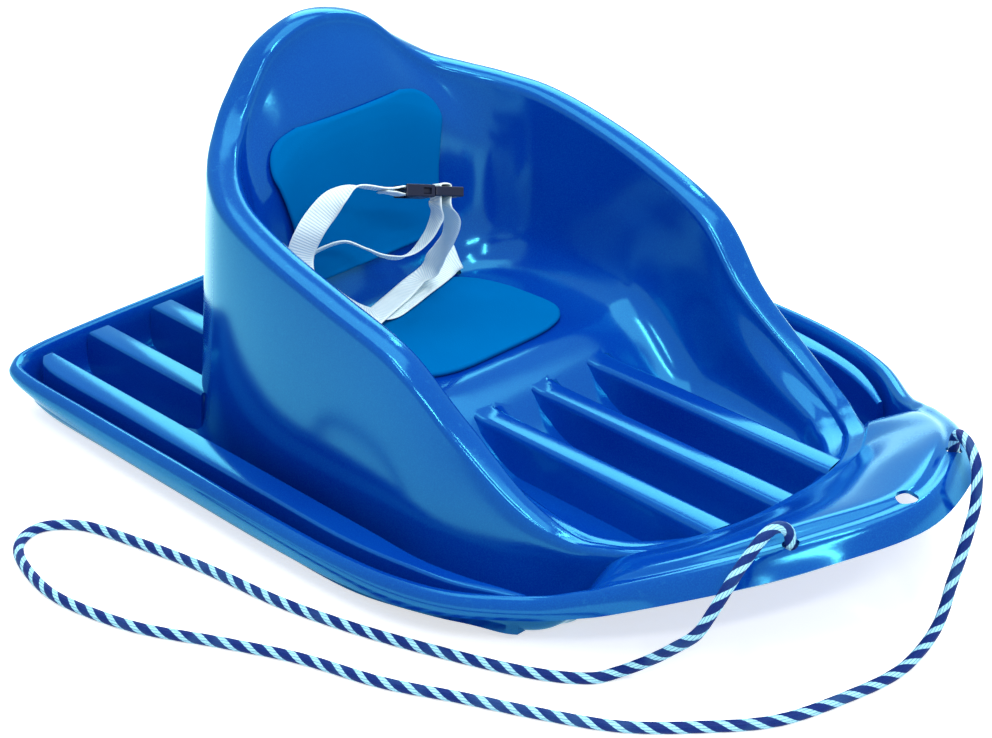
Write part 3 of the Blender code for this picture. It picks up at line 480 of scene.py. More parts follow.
def even_curve(points, steps):
    """A smooth curve through points at uneven spacing, which never loops or bulges between them."""
    ring = [2 * points[0] - points[1], *points, 2 * points[-1] - points[-2]]
    samples = []
    for index in range(1, len(ring) - 2):
        a, b, c, d = ring[index - 1:index + 3]
        spans = [max(math.sqrt((q - p).length), 1e-6) for p, q in ((a, b), (b, c), (c, d))]
        t0, t1 = 0.0, spans[0]
        t2 = t1 + spans[1]
        t3 = t2 + spans[2]
        for step in range(steps[index - 1]):
            t = t1 + (t2 - t1) * step / steps[index - 1]
            ab = a.lerp(b, (t - t0) / (t1 - t0))
            bc = b.lerp(c, (t - t1) / (t2 - t1))
            cd = c.lerp(d, (t - t2) / (t3 - t2))
            samples.append(ab.lerp(bc, (t - t0) / (t2 - t0)).lerp(bc.lerp(cd, (t - t1) / (t3 - t1)),
                                                                  (t - t1) / (t2 - t1)))
    samples.append(points[-1].copy())
    return samples


def ease(value):
    """0 to 1, slow at both ends."""
    value = min(max(value, 0.0), 1.0)
    return value * value * (3.0 - 2.0 * value)


def mesh_object(name, points, faces, material, smooth=True):
    """A new mesh in the scene."""
    mesh = bpy.data.meshes.new(name)
    mesh.from_pydata([tuple(p) for p in points], [], faces)
    mesh.materials.append(material)
    mesh.polygons.foreach_set("use_smooth", [smooth] * len(mesh.polygons))
    mesh.update()
    made = bpy.data.objects.new(name, mesh)
    bpy.context.scene.collection.objects.link(made)
    return made


def finished_mesh(made):
    """Applies an object's modifiers."""
    graph = bpy.context.evaluated_depsgraph_get()
    mesh = bpy.data.meshes.new_from_object(made.evaluated_get(graph))
    made.modifiers.clear()
    made.data = mesh
    return made


def weld(made):
    """Merges points that share a place, and drops the faces that this flattens."""
    build = bmesh.new()
    build.from_mesh(made.data)
    bmesh.ops.remove_doubles(build, verts=build.verts, dist=0.01 * MM)
    bmesh.ops.dissolve_degenerate(build, edges=build.edges, dist=0.005 * MM)
    build.to_mesh(made.data)
    build.free()


def face_out(made):
    """Turns a closed mesh's faces outwards."""
    build = bmesh.new()
    build.from_mesh(made.data)
    bmesh.ops.recalc_face_normals(build, faces=build.faces)
    if build.calc_volume(signed=True) < 0.0:
        bmesh.ops.reverse_faces(build, faces=build.faces)
    build.to_mesh(made.data)
    build.free()


def join_rings(rings):
    """Quads between rings of points, each ring closed on itself."""
    count = len(rings[0])
    faces = []
    for i in range(len(rings) - 1):
        for j in range(count):
            a = i * count + j
            b = i * count + (j + 1) % count
            faces.append((a, b, b + count, a + count))
    return faces


# The moulded shell

def floor_height(x, sizes):
    """Height of the tub's floor at a place along the sled."""
    start = SLOPE_START * MM
    end = SLOPE_END * MM
    return sizes.seat_height - (sizes.seat_height - sizes.well_height) * ease((x - start) / (end - start))


def outward(line):
    """Level directions out of the sled, square to a line round its left half."""
    normals = []
    for index, point in enumerate(line):
        before = line[max(index - 1, 0)]
        after = line[min(index + 1, len(line) - 1)]
        along = Vector((after[0] - before[0], after[1] - before[1]))
        if index == 0:
            along = Vector((0.0, 1.0))
        if index == len(line) - 1:
            along = Vector((0.0, -1.0))
        along.normalize()
        normals.append(Vector((-along[1], along[0])))
    return normals


def shell_sections(sizes):
    """Smooth sections of the left half, from the floor's middle out over the rim to the lip's lower edge."""
    steps = STATION_STEPS
    floor, inner, crest, foot, lip_foot, edge = (
        [p * MM for p in smooth_line(line, steps, True)]
        for line in (FLOOR_EDGE, INNER_WALL, RIM_CREST, WALL_FOOT, LIP_FOOT, LIP_EDGE))
    tops = smooth_line([(h, 0.0, f) for h, f in zip(LIP_TOP, RIM_FADE)], steps, True)
    bottoms = smooth_line([(h, 0.0, t) for h, t in zip(LIP_BOTTOM, LIP_TUCK)], steps, True)
    rim_normals = outward(crest)
    lip_normals = outward(edge)
    wide = sizes.rim_half
    rolled = ((-wide - RIM_SPREAD * MM, RIM_DEPTH * MM), (-wide, RIM_DIP * MM), (0.0, 0.0), (wide, RIM_DIP * MM),
              (wide + RIM_SPREAD * MM, RIM_DEPTH * MM))
    reach = floor[-1][0] - floor[0][0]
    furthest = 0.0
    sections = []
    for i, middle in enumerate(crest):
        fade = min(max(tops[i][2], 0.0), 1.0)
        top = tops[i][0] * MM
        furthest = max(furthest, (floor[i][0] - floor[0][0]) / reach)
        spine = Vector(((SPINE_START + SPINE_LENGTH * furthest) * MM, 0.0))
        control = []
        for part in (0.0, 1 / 3, 2 / 3, 1.0):
            flat = spine.lerp(floor[i], part)
            control.append(Vector((flat[0], flat[1], floor_height(flat[0], sizes))))
        low = control[-1]
        fillet = low.lerp(inner[i], FILLET_OUT)
        control.append(Vector((fillet[0], fillet[1], low[2] + FILLET_UP * (inner[i][2] - low[2]))))
        control.append(inner[i])
        normal = rim_normals[i]
        for (across, down), (near, dip) in zip(rolled, NOSE_EDGE):
            across = near * MM + (across - near * MM) * fade
            down = dip * MM + (down - dip * MM) * fade
            control.append(Vector((middle[0] + across * normal[0], middle[1] + across * normal[1],
                                   middle[2] - down)))
        control.append(control[-1].lerp(foot[i], 0.5))
        control.append(foot[i])
        between = foot[i].lerp(lip_foot[i], 0.5)
        between[2] = foot[i][2] + PAN_RISE * (lip_foot[i][2] - foot[i][2])
        control.append(between)
        control.append(lip_foot[i])
        out = lip_normals[i]
        roll = [(inward * MM, top - below * MM) for inward, below in LIP_ROLL]
        for inward, height in (*roll, (bottoms[i][2] * MM, bottoms[i][0] * MM)):
            control.append(Vector((edge[i][0] - inward * out[0], edge[i][1] - inward * out[1], height)))
        if i in (0, len(crest) - 1):
            for point in control:
                point[1] = 0.0
        wall = even_curve(control[:PAN_START + 1], SECTION_STEPS[:PAN_START])
        pan = even_curve(control[PAN_START:LIP_START + 1], SECTION_STEPS[PAN_START:LIP_START])
        lip = even_curve(control[LIP_START:], SECTION_STEPS[LIP_START:])
        section = wall[:-1] + pan[:-1] + lip
        first = sum(SECTION_STEPS[:RIM_OUTSIDE])
        for _ in range(SMOOTHING_PASSES):
            old = [p.copy() for p in section]
            for j in range(first, len(section) - 1):
                section[j] = 0.5 * old[j] + 0.25 * (old[j - 1] + old[j + 1])
        sections.append(section)
    return sections


def shell_sheet(sections):
    """Points and faces of the shell's upper skin, both halves welded along the middle."""
    count = len(sections[0])
    rows = len(sections)
    points = []
    place = {}
    for side in (1.0, -1.0):
        for i, section in enumerate(sections):
            for j, point in enumerate(section):
                middle = j == 0 or i in (0, rows - 1)
                if side < 0 and middle:
                    place[side, i, j] = place[1.0, i, j]
                    continue
                place[side, i, j] = len(points)
                points.append(Vector((point[0], 0.0 if middle else point[1] * side, point[2])))
    faces = []
    for side in (1.0, -1.0):
        for i in range(rows - 1):
            for j in range(count - 1):
                quad = (place[side, i, j], place[side, i, j + 1], place[side, i + 1, j + 1], place[side, i + 1, j])
                faces.append(quad if side < 0 else quad[::-1])
    return points, faces


def rounded_top(half_low, half_top, low, top, radius, arc=4):
    """A drafted rib's section as (across, height), with rounded upper edges."""
    right = []
    for k in range(arc + 1):
        turn = 0.5 * math.pi * k / arc
        right.append((half_top - radius + radius * math.cos(turn), top - radius + radius * math.sin(turn)))
    left = [(-across, height) for across, height in reversed(right)]
    return [(half_low, low), *right, (0.0, top), *left, (-half_low, low), (0.0, low)]


def solid_through(name, rings, material):
    """A closed solid through rings of points, with both ends filled round their middles."""
    points = [Vector(p) for ring in rings for p in ring]
    faces = join_rings(rings)
    count = len(rings[0])
    for first in (0, len(points) - count):
        ring = points[first:first + count]
        middle = len(rings) * count + (first > 0)
        points.append(sum(ring, Vector()) / count)
        faces += [(first + j, first + (j + 1) % count, middle) for j in range(count)]
    made = mesh_object(name, points, faces, material)
    face_out(made)
    return made


def joined(name, pieces):
    """One object from several, kept as separate islands."""
    build = bmesh.new()
    for piece in pieces:
        build.from_mesh(piece.data)
    mesh = bpy.data.meshes.new(name)
    build.to_mesh(mesh)
    build.free()
    for piece in pieces:
        bpy.data.objects.remove(piece, do_unlink=True)
    made = bpy.data.objects.new(name, mesh)
    bpy.context.scene.collection.objects.link(made)
    return made


def rib_end(radius):
    """How far along and how far down a rib's rounded end goes."""
    return [(radius * (1.0 - math.cos(turn)), radius * (1.0 - math.sin(turn)))
            for turn in (0.0, 0.35, 0.75, 1.15, 0.5 * math.pi)]


def along_x(tree, start, y, z, towards):
    """Where a ray along the sled first meets the shell."""
    return tree.ray_cast(Vector((start, y + 0.01 * MM, z)), Vector((towards, 0.0, 0.0)))[0][0]


def rear_ribs(sizes, tree, hollow, material):
    """The pan's six ribs behind the seat, or the hollows below them."""
    inset = sizes.wall if hollow else 0.0
    flare = RIB_FLARE * MM
    upper = PAN_RIB_TOP * MM - inset
    lower = -HOLLOW_DEPTH * MM if hollow else 0.5 * sizes.wall
    top_half = sizes.rib_half - inset
    low_half = top_half + (flare * (upper - lower) / (PAN_RIB_TOP * MM) if hollow else flare)
    radius = max(sizes.rib_round - inset, LEAST_ROUND * MM)
    behind = PAN_RIB_REAR * MM + 0.02
    ribs = []
    for place in REAR_RIB_PLACES:
        for side in (1.0, -1.0):
            middle = place * MM * side
            wall = max(along_x(tree, behind, middle, height, 1.0) for height in (0.3 * upper, upper))
            front = wall + (HOLLOW_REACH * MM if hollow else RIB_REACH * MM)
            rings = []
            rear = PAN_RIB_REAR * MM + inset
            for along, down in rib_end(radius):
                ring = []
                for across, height in rounded_top(low_half, top_half, lower, upper, radius):
                    lean = (low_half - top_half) * (upper - height) / (upper - lower)
                    x = rear + along - (lean if height < upper - radius else 0.0)
                    if height > upper - radius:
                        height -= down * (height - (upper - radius)) / radius
                    ring.append((x, middle + across, height))
                rings.append(ring)
            for x in (0.5 * (rear + front), front):
                rings.append([(x, middle + across, height)
                              for across, height in rounded_top(low_half, top_half, lower, upper, radius)])
            ribs.append(solid_through("rib", rings, material))
    return ribs


def side_ribs(sizes, tree, hollow, material):
    """The pan's two long ribs beside the tub, or the hollows below them."""
    inset = sizes.wall if hollow else 0.0
    flare = RIB_FLARE * MM
    radius = max(sizes.rib_round - inset, LEAST_ROUND * MM)
    ribs = []
    line = even_curve([Vector(p) for p in SIDE_RIB_LINE], SIDE_RIB_STEPS)
    for side in (1.0, -1.0):
        rings = []
        rear = []
        for along, down in rib_end(radius):
            rear.append((line[0].lerp(line[2], along / MM / (line[2] - line[0]).length), down))
        samples = rear + [(p, 0.0) for p in line[2:-2 if hollow else None]]
        for index, (point, down) in enumerate(samples):
            x = point[0] * MM + (inset if index < len(rear) else 0.0)
            outer = point[1] * MM - inset
            inner = point[3] * MM + inset
            upper = point[2] * MM - inset - down
            middle = 0.5 * (inner + outer)
            half = 0.5 * (outer - inner)
            low = -sizes.wall
            if not hollow:
                low = min(tree.ray_cast(Vector((x, y, point[2] * MM + sizes.wall)), Vector((0.0, 0.0, -1.0)))[0][2]
                          for y in (inner - flare, outer + flare)) - 0.5 * sizes.wall
            section = rounded_top(half + flare, half, low, upper, min(radius, 0.45 * half))
            rings.append([(x, (middle + across) * side, height) for across, height in section])
        ribs.append(solid_through("rib", rings, material))
    return ribs


def well_ribs(sizes, tree, hollow, material):
    """Ribs of the foot well: soft at the rear end and along the edges, flush with the crossbar in front."""
    inset = sizes.wall if hollow else 0.0
    radius = sizes.well_round - inset
    upper = WELL_RIB_TOP * MM - inset
    top_half = WELL_RIB_HALF * MM - inset
    low_half = top_half + RIB_FLARE * MM
    depth = HOLLOW_DEPTH * MM if hollow else 0.5 * sizes.wall
    ribs = []
    for number in (-1, 0, 1):
        middle = number * WELL_RIB_SPACING * MM
        rear = WELL_RIB_REAR * MM + 4.0 * inset
        section = rounded_top(low_half, top_half, 0.0, upper, radius)
        fronts = []
        for across, height in section:
            steep = min(max(height, CROSSBAR_LOW * MM), CROSSBAR_HIGH * MM)
            reach = along_x(tree, WELL_MIDDLE * MM, middle + across, steep, 1.0)
            if hollow:
                fronts.append(reach - HOLLOW_SHORT * MM)
            else:
                onward = CROSSBAR_REACH * MM if height > CROSSBAR_HIGH * MM else 0.0
                fronts.append(reach + 0.5 * sizes.wall + onward)
        rings = []
        for step in range(WELL_RIB_STEPS + 1):
            ring = []
            for (across, height), front in zip(section, fronts):
                x = rear + (front - rear) * step / WELL_RIB_STEPS
                low = floor_height(x, sizes) - depth
                # Where the rib dives into the floor its section stays the right way up, if only just
                least = low + 0.3 * MM + 0.05 * (height - upper + radius)
                ring.append((x, middle + across, low if height == 0.0 else max(height, least)))
            rings.append(ring)
        ribs.append(solid_through("rib", rings, material))
    return ribs


def slot_frame(side):
    """Where a belt slot is: its X points into the seat, its Z up along the slot."""
    place = Vector((SLOT_PLACE[0], SLOT_PLACE[1] * side, SLOT_PLACE[2])) * MM
    turn = Matrix.Rotation(-SLOT_TOE * side, 4, "Z") @ Matrix.Rotation(-SLOT_LEAN, 4, "Y")
    return Matrix.Translation(place) @ turn


def round_cutter(x, y, radius, material):
    """An upright round hole."""
    sides = 40
    rings = []
    for z in HOLE_HEIGHTS:
        rings.append([(x + radius * math.cos(2 * math.pi * k / sides), y + radius * math.sin(2 * math.pi * k / sides),
                       z * MM) for k in range(sides)])
    return solid_through("cutter", rings, material)


def slot_cutter(side, material):
    """A long hole with round ends, through the wall."""
    where = slot_frame(side)
    sides = 24
    rings = []
    for x in (-SLOT_CUT * MM, SLOT_CUT * MM):
        ring = []
        for k in range(sides):
            turn = 2 * math.pi * k / sides
            end = SLOT_HALF * MM if math.sin(turn) > 0 else -SLOT_HALF * MM
            ring.append(where @ Vector((x, SLOT_RADIUS * MM * math.cos(turn),
                                        end + SLOT_RADIUS * MM * math.sin(turn))))
        rings.append(ring)
    return solid_through("cutter", rings, material)


def apply_cut(target, cutter, operation):
    """Joins the cutter to the target or cuts it out of it, and removes the cutter."""
    step = target.modifiers.new(operation.lower(), "BOOLEAN")
    step.operation = operation
    step.solver = "EXACT"
    step.object = cutter
    finished_mesh(target)
    bpy.data.objects.remove(cutter, do_unlink=True)


def moulded_plastic(sizes):
    """Glossy blown plastic: faint mottling, fine grain, scuffs along the rim, and cool reflections."""
    finish = Finish(bpy.data.materials.new("moulded_plastic"))
    grain_colour = (0.01, 0.2, 0.6)
    worn_colour = (0.03, 0.22, 0.5)
    cloud = finish.noise(7.0, 3.0)
    grain = finish.noise(1100.0, 2.0, 0.6)
    speck = finish.noise(420.0, 1.0)
    scuff = finish.attribute("scuff")
    flow = finish.noise(26.0, 4.0, 0.65)
    marks = finish.noise(160.0, 5.0, 0.75)
    worn = scuff * marks.between(0.56, 0.66)
    colour = finish.colours(cloud.between(0.3, 0.7), tuple(sizes.shade), tuple(sizes.colour))
    colour = finish.colours(grain.between(0.35, 0.8) * 0.14, colour, grain_colour)
    colour = finish.colours(worn * 0.16, colour, worn_colour)
    rough = 0.24 + 0.1 * cloud + 0.1 * flow.between(0.35, 0.75) + 0.18 * worn
    normal = finish.bump(grain * 0.5 + speck * 0.5, 0.12, 0.25 * MM)
    normal = finish.bump(marks * scuff, 0.25, 0.3 * MM, normal)
    finish.set(Base_Color=colour, Roughness=rough, Normal=normal, Specular_IOR_Level=0.0, Coat_Weight=0.0)
    sheen = finish.add("ShaderNodeBsdfPrincipled", {}, {
        "Base Color": tuple(sizes.sheen), "Metallic": 1.0, "Roughness": SHEEN_ROUGHNESS, "Normal": normal})
    fresnel = finish.add("ShaderNodeFresnel", {}, {"IOR": SHEEN_IOR})
    both = finish.add("ShaderNodeMixShader", {}, {0: fresnel, 1: finish.own(), 2: sheen})
    finish.feed(finish.surface, both)
    return finish.made


def pad_foam(colours):
    """Closed-cell foam: matte, with fine cells, and painted shade darkening it towards its edge."""
    finish = Finish(bpy.data.materials.new("foam"))
    cloud_colour = (0.0, 0.13, 0.38)
    edge_shade_colour = (0.0, 0.05, 0.26)
    cells = finish.add("ShaderNodeTexVoronoi", {}, {"Vector": finish.place(), "Scale": 900.0})
    cloud = finish.noise(14.0, 3.0)
    # Painted shade: the foam's colour darkens towards its edge
    rim = finish.attribute("edge")
    colour = finish.colours(cloud.between(0.3, 0.7) * 0.5, tuple(colours.colour), cloud_colour)
    colour = finish.colours(rim * 0.2, colour, edge_shade_colour)
    normal = finish.bump(cells, 0.18, 0.3 * MM)
    finish.set(Base_Color=colour, Roughness=0.62 + 0.12 * cells, Normal=normal, Specular_IOR_Level=0.0)
    return finish.made


def belt_webbing(colours):
    """Woven polyester webbing: cross ribs, a fine twill between them, turned edges, and painted shade between the ribs.
    """
    finish = Finish(bpy.data.materials.new("webbing"))
    weave_gap_shade = (0.45, 0.68, 0.76)
    soil_colour = (0.5, 0.64, 0.68)
    along, across = finish.strip()
    rib = (along * (2.0 * math.pi / (WEAVE_RIB * MM))).sine() * 0.5 + 0.5
    side = (across - 0.5).size() * 2.0
    twill = ((across * 26.0 + along * (0.5 / (WEAVE_RIB * MM))) * 2.0 * math.pi).sine() * 0.5 + 0.5
    hem = side.between(0.86, 0.93)
    height = rib * (1.0 - hem) * 0.7 + twill * 0.3 + hem * 0.5
    # Painted shade: the webbing is darkened between its woven ribs and in the twill's grooves
    shade = (1.0 - rib) * (1.0 - hem) * 0.6 + (1.0 - twill) * 0.14
    soil = finish.noise(60.0, 4.0)
    colour = finish.colours(shade, tuple(colours.colour), weave_gap_shade)
    colour = finish.colours(soil.between(0.45, 0.8) * 0.12, colour, soil_colour)
    normal = finish.bump(height, 0.7, 0.35 * MM)
    finish.set(Base_Color=colour, Roughness=0.72 + 0.12 * rib, Normal=normal, Sheen_Weight=0.15)
    return finish.made


def buckle_plastic(colours):
    """Dark moulded acetal with a light satin grain and paler rubbed places."""
    finish = Finish(bpy.data.materials.new("buckle_plastic"))
    rubbed_colour = (0.01, 0.03, 0.08)
    grain = finish.noise(2600.0, 2.0)
    rub = finish.noise(190.0, 4.0, 0.7).between(0.58, 0.75)
    colour = finish.colours(rub * 0.3, tuple(colours.buckle), rubbed_colour)
    normal = finish.bump(grain, 0.12, 0.15 * MM)
    finish.set(Base_Color=colour, Roughness=0.34 + 0.16 * rub, Normal=normal, Specular_IOR_Level=0.3)
    return finish.made


def rope_yarn(sizes):
    """Braided rope: dark and pale strands in slanted patches, fine yarn along each strand, and painted shade in the
    grooves between strands.
    """
    finish = Finish(bpy.data.materials.new("rope"))
    dark_yarn = (0.0, 0.06, 0.3)
    pale_yarn = (0.13, 0.42, 0.72)
    strand_groove_shade = (0.0, 0.02, 0.16)
    faded_colour = (0.15, 0.45, 0.7)
    # A whole number of repeats, added so that the fraction is never taken of a negative number
    spare = 60.0
    along, around = finish.strip()
    repeat = sizes.repeat
    band = (along / repeat - around * BRAID_PATCHES + spare).fraction()
    lane = (around * float(sizes.strands) + along * BRAID_SLANT / repeat).fraction()
    pale = band.between(BRAID_DARK, BRAID_DARK + 0.025) * (1.0 - band.between(0.975, 0.999))
    groove = ((lane - 0.5).size() * 2.0).between(0.62, 1.0)
    yarn = finish.noise(1500.0, 2.0)
    fade = finish.noise(38.0, 2.0)
    dark = finish.colours(yarn.between(0.4, 0.75) * 0.35, tuple(sizes.dark), dark_yarn)
    light = finish.colours(yarn.between(0.35, 0.7) * 0.45, tuple(sizes.pale), pale_yarn)
    colour = finish.colours(pale, dark, light)
    # Painted shade: the grooves between the strands are darkened
    colour = finish.colours(groove * 0.75, colour, strand_groove_shade)
    colour = finish.colours(fade.between(0.45, 0.75) * 0.1, colour, faded_colour)
    normal = finish.bump(yarn * 0.5 + (1.0 - groove) * 0.5, 0.5, 0.3 * MM)
    finish.set(Base_Color=colour, Roughness=0.55 + 0.2 * yarn, Normal=normal, Specular_IOR_Level=0.2)
    return finish.made


# Rope

def evenly(points, step, closed=False):
    """The same line in equal steps, and the length of one."""
    points = [np.array(p) for p in points]
    if closed:
        points.append(points[0])
    line = np.array(points)
    lengths = np.linalg.norm(np.diff(line, axis=0), axis=1)
    along = np.concatenate([[0.0], np.cumsum(lengths)])
    count = max(int(round(along[-1] / step)), 8)
    targets = np.linspace(0.0, along[-1], count + 1)
    even = np.stack([np.interp(targets, along, line[:, axis]) for axis in range(3)], axis=1)
    return even[:-1] if closed else even, targets[1] - targets[0]


def untwisted(line, closed):
    """Directions along a line and square to it that don't turn round it, and the turn left over on a closed one."""
    if closed:
        tangents = np.roll(line, -1, axis=0) - np.roll(line, 1, axis=0)
    else:
        tangents = np.gradient(line, axis=0)
    tangents /= np.linalg.norm(tangents, axis=1)[:, None]
    tangents = [Vector(tangent) for tangent in tangents]
    normals = [tangents[0].orthogonal().normalized()]
    for before, tangent in zip(tangents, tangents[1:]):
        normal = before.rotation_difference(tangent) @ normals[-1]
        normals.append((normal - tangent * normal.dot(tangent)).normalized())
    twist = 0.0
    if closed:
        back = tangents[-1].rotation_difference(tangents[0]) @ normals[-1]
        side = tangents[0].cross(normals[0])
        twist = math.atan2(back.dot(side), back.dot(normals[0]))
    return tangents, normals, twist


def braided_rope(name, points, sizes, material, closed=False):
    """A tube along points whose skin rises over each stitch of the braid."""
    line, step = evenly(points, BRAID_STEP * MM, closed)
    count = len(line)
    sides = sizes.strands * 4
    tangents, normals, twist = untwisted(line, closed)
    radius = 0.5 * sizes.diameter
    dark = 0.5 * BRAID_DARK
    pale = 0.5 * (1.0 - BRAID_DARK)
    points = []
    around = np.arange(sides) / sides
    for i in range(count):
        along = i * step
        band = (along / sizes.repeat - around * BRAID_PATCHES) % 1.0
        lane = (around * sizes.strands + along * BRAID_SLANT / sizes.repeat) % 1.0
        across = np.abs(lane - 0.5) * 2.0
        stitch = np.where(band < BRAID_DARK, np.abs(band - dark) / dark, np.abs(band - (BRAID_DARK + pale)) / pale)
        lift = STRAND_LIFT * MM * (1.0 - across ** 2.2) + STITCH_LIFT * MM * (1.0 - stitch ** 3)
        reach = radius - BRAID_DEPTH * MM + lift
        angle = 2.0 * math.pi * around - twist * i / count
        side = tangents[i].cross(normals[i])
        circle = (np.cos(angle)[:, None] * np.array(normals[i]) + np.sin(angle)[:, None] * np.array(side))
        points.extend(line[i] + reach[:, None] * circle)
    faces = join_rings([range(sides)] * count)
    if closed:
        last = (count - 1) * sides
        faces += [(last + j, last + (j + 1) % sides, (j + 1) % sides, j) for j in range(sides)]
    else:
        faces.append(tuple(range(sides))[::-1])
        faces.append(tuple(range((count - 1) * sides, count * sides)))
    made = mesh_object(name, points, faces, material)
    strip = made.data.uv_layers.new(name="strip")
    for face in made.data.polygons:
        corners = list(face.vertices)
        columns = [vertex % sides for vertex in corners]
        seam = len(corners) == 4 and max(columns) - min(columns) > sides // 2
        wrap = closed and len(corners) == 4 and max(corners) - min(corners) > 2 * sides
        for loop, vertex in zip(face.loop_indices, corners):
            row, column = divmod(vertex, sides)
            if seam and column == 0:
                column = sides
            if wrap and row == 0:
                row = count
            strip.data[loop].uv = (row * step, column / sides)
    return made, line


def rope_centre():
    """The rope's middle line."""
    return [p * MM for p in smooth_line(ROPE_ROUTE, 8)]


def knot_line(side):
    """A closed overhand knot."""
    middle = Vector(((ROPE_HOLE[0] - KNOT_INSET) * MM, (ROPE_HOLE[1] - KNOT_INSET) * MM * side, KNOT_HEIGHT * MM))
    points = []
    for k in range(KNOT_STEPS):
        turn = 2.0 * math.pi * k / KNOT_STEPS
        loop = Vector((math.sin(turn) + 2.0 * math.sin(2.0 * turn),
                       (math.cos(turn) - 2.0 * math.cos(2.0 * turn)) * side, -math.sin(3.0 * turn)))
        points.append(middle + loop * KNOT_SIZE * MM)
    return points


# Belt

def buckle_frame():
    """Where the buckle is: its X points along it to the insert's end, its Z out of its front."""
    along = Vector(BUCKLE_ALONG).normalized()
    up = along.cross(Vector(BUCKLE_ACROSS)).normalized()
    across = up.cross(along)
    turn = Matrix((along, across, up)).transposed().to_4x4()
    return Matrix.Translation(Vector(BUCKLE_PLACE) * MM) @ turn


def webbing(name, places, sizes, material):
    """A ribbon of webbing with rounded edges, through places that each have a width direction."""
    line = smooth_line([place for place, _ in places], 8)
    widths = smooth_line([width for _, width in places], 8)
    half = 0.5 * sizes.width
    skin = 0.5 * sizes.thickness
    section = []
    for k in range(STRAP_COLUMNS + 1):
        across = -half + 2.0 * half * k / STRAP_COLUMNS
        edge = max(0.0, (abs(across) - (half - skin)) / skin)
        section.append((across, skin * math.sqrt(max(1.0 - edge * edge, 0.06))))
    loop = section + [(across, -high) for across, high in reversed(section)]
    points = []
    travel = [0.0]
    for index, point in enumerate(line):
        along = (line[min(index + 1, len(line) - 1)] - line[max(index - 1, 0)]).normalized()
        across = (widths[index] - along * widths[index].dot(along)).normalized()
        face = along.cross(across)
        points.extend(point + across * a + face * h for a, h in loop)
        if index:
            travel.append(travel[-1] + (point - line[index - 1]).length)
    count = len(loop)
    faces = join_rings([loop] * len(line))
    faces.append(tuple(range(count))[::-1])
    faces.append(tuple(range(len(points) - count, len(points))))
    made = mesh_object(name, points, faces, material)
    strip = made.data.uv_layers.new(name="strip")
    for face in made.data.polygons:
        for corner, vertex in zip(face.loop_indices, face.vertices):
            row, column = divmod(vertex, count)
            strip.data[corner].uv = (travel[row], 0.5 + loop[column][0] / sizes.width)
    return made


def in_frame(where, place, width):
    """A strap's place and its webbing's width direction, given in a slot's or the buckle's own directions."""
    return (where @ Vector(place), where.to_3x3() @ Vector(width))


def slot_places(side):
    """From the anchor behind the back wall through the slot."""
    where = slot_frame(side)
    return [in_frame(where, (x * MM, 0.0, 0.0), (0.0, 0.0, 1.0)) for x in SLOT_STATIONS]


def lain_places(places):
    """Places given in millimetres, in metres."""
    return [(Vector(place) * MM, Vector(width)) for place, width in places]


def right_places(where, sizes):
    """From the right slot to the socket, and round its bar."""
    skin = 0.5 * sizes.thickness + STRAP_GAP * MM
    bar = SOCKET_BAR * MM
    reach = SOCKET_BAR_HALF * MM + skin
    places = slot_places(-1.0) + lain_places(RIGHT_STRAP)
    turn = ((bar - 6.0 * reach, skin), (bar - 3.0 * reach, 1.5 * skin), (bar - reach, reach), (bar, reach),
            (bar + 0.95 * reach, 0.9 * reach), (bar + 1.1 * reach, 0.0), (bar + 0.95 * reach, -0.9 * reach),
            (bar, -reach), (bar - reach, -reach), (bar - 3.0 * reach, -1.5 * skin), (bar - 6.0 * reach, -skin))
    return places + [in_frame(where, (along, 0.0, up), (0.0, -1.0, 0.0)) for along, up in turn]


def left_places(where, sizes):
    """From the left slot to the insert, round its bar, and out along the loose tail."""
    skin = 0.5 * sizes.thickness + STRAP_GAP * MM
    middle = INSERT_BAR * MM
    reach = INSERT_BAR_HALF * MM + skin
    top = INSERT_BAR_HEIGHT * MM + skin
    places = slot_places(1.0) + lain_places(LEFT_STRAP_OUT)
    turn = ((middle - reach, -2.0 * top), (middle - reach, -0.6 * top), (middle - reach, 0.6 * top),
            (middle - 0.95 * reach, 1.1 * top), (middle, 1.25 * top), (middle + 0.95 * reach, 1.1 * top),
            (middle + reach, 0.6 * top), (middle + reach, -0.6 * top), (middle + reach, -2.0 * top))
    places += [in_frame(where, (along, 0.0, up), (0.0, 1.0, 0.0)) for along, up in turn]
    return places + lain_places(LEFT_STRAP_TAIL)


# Pads

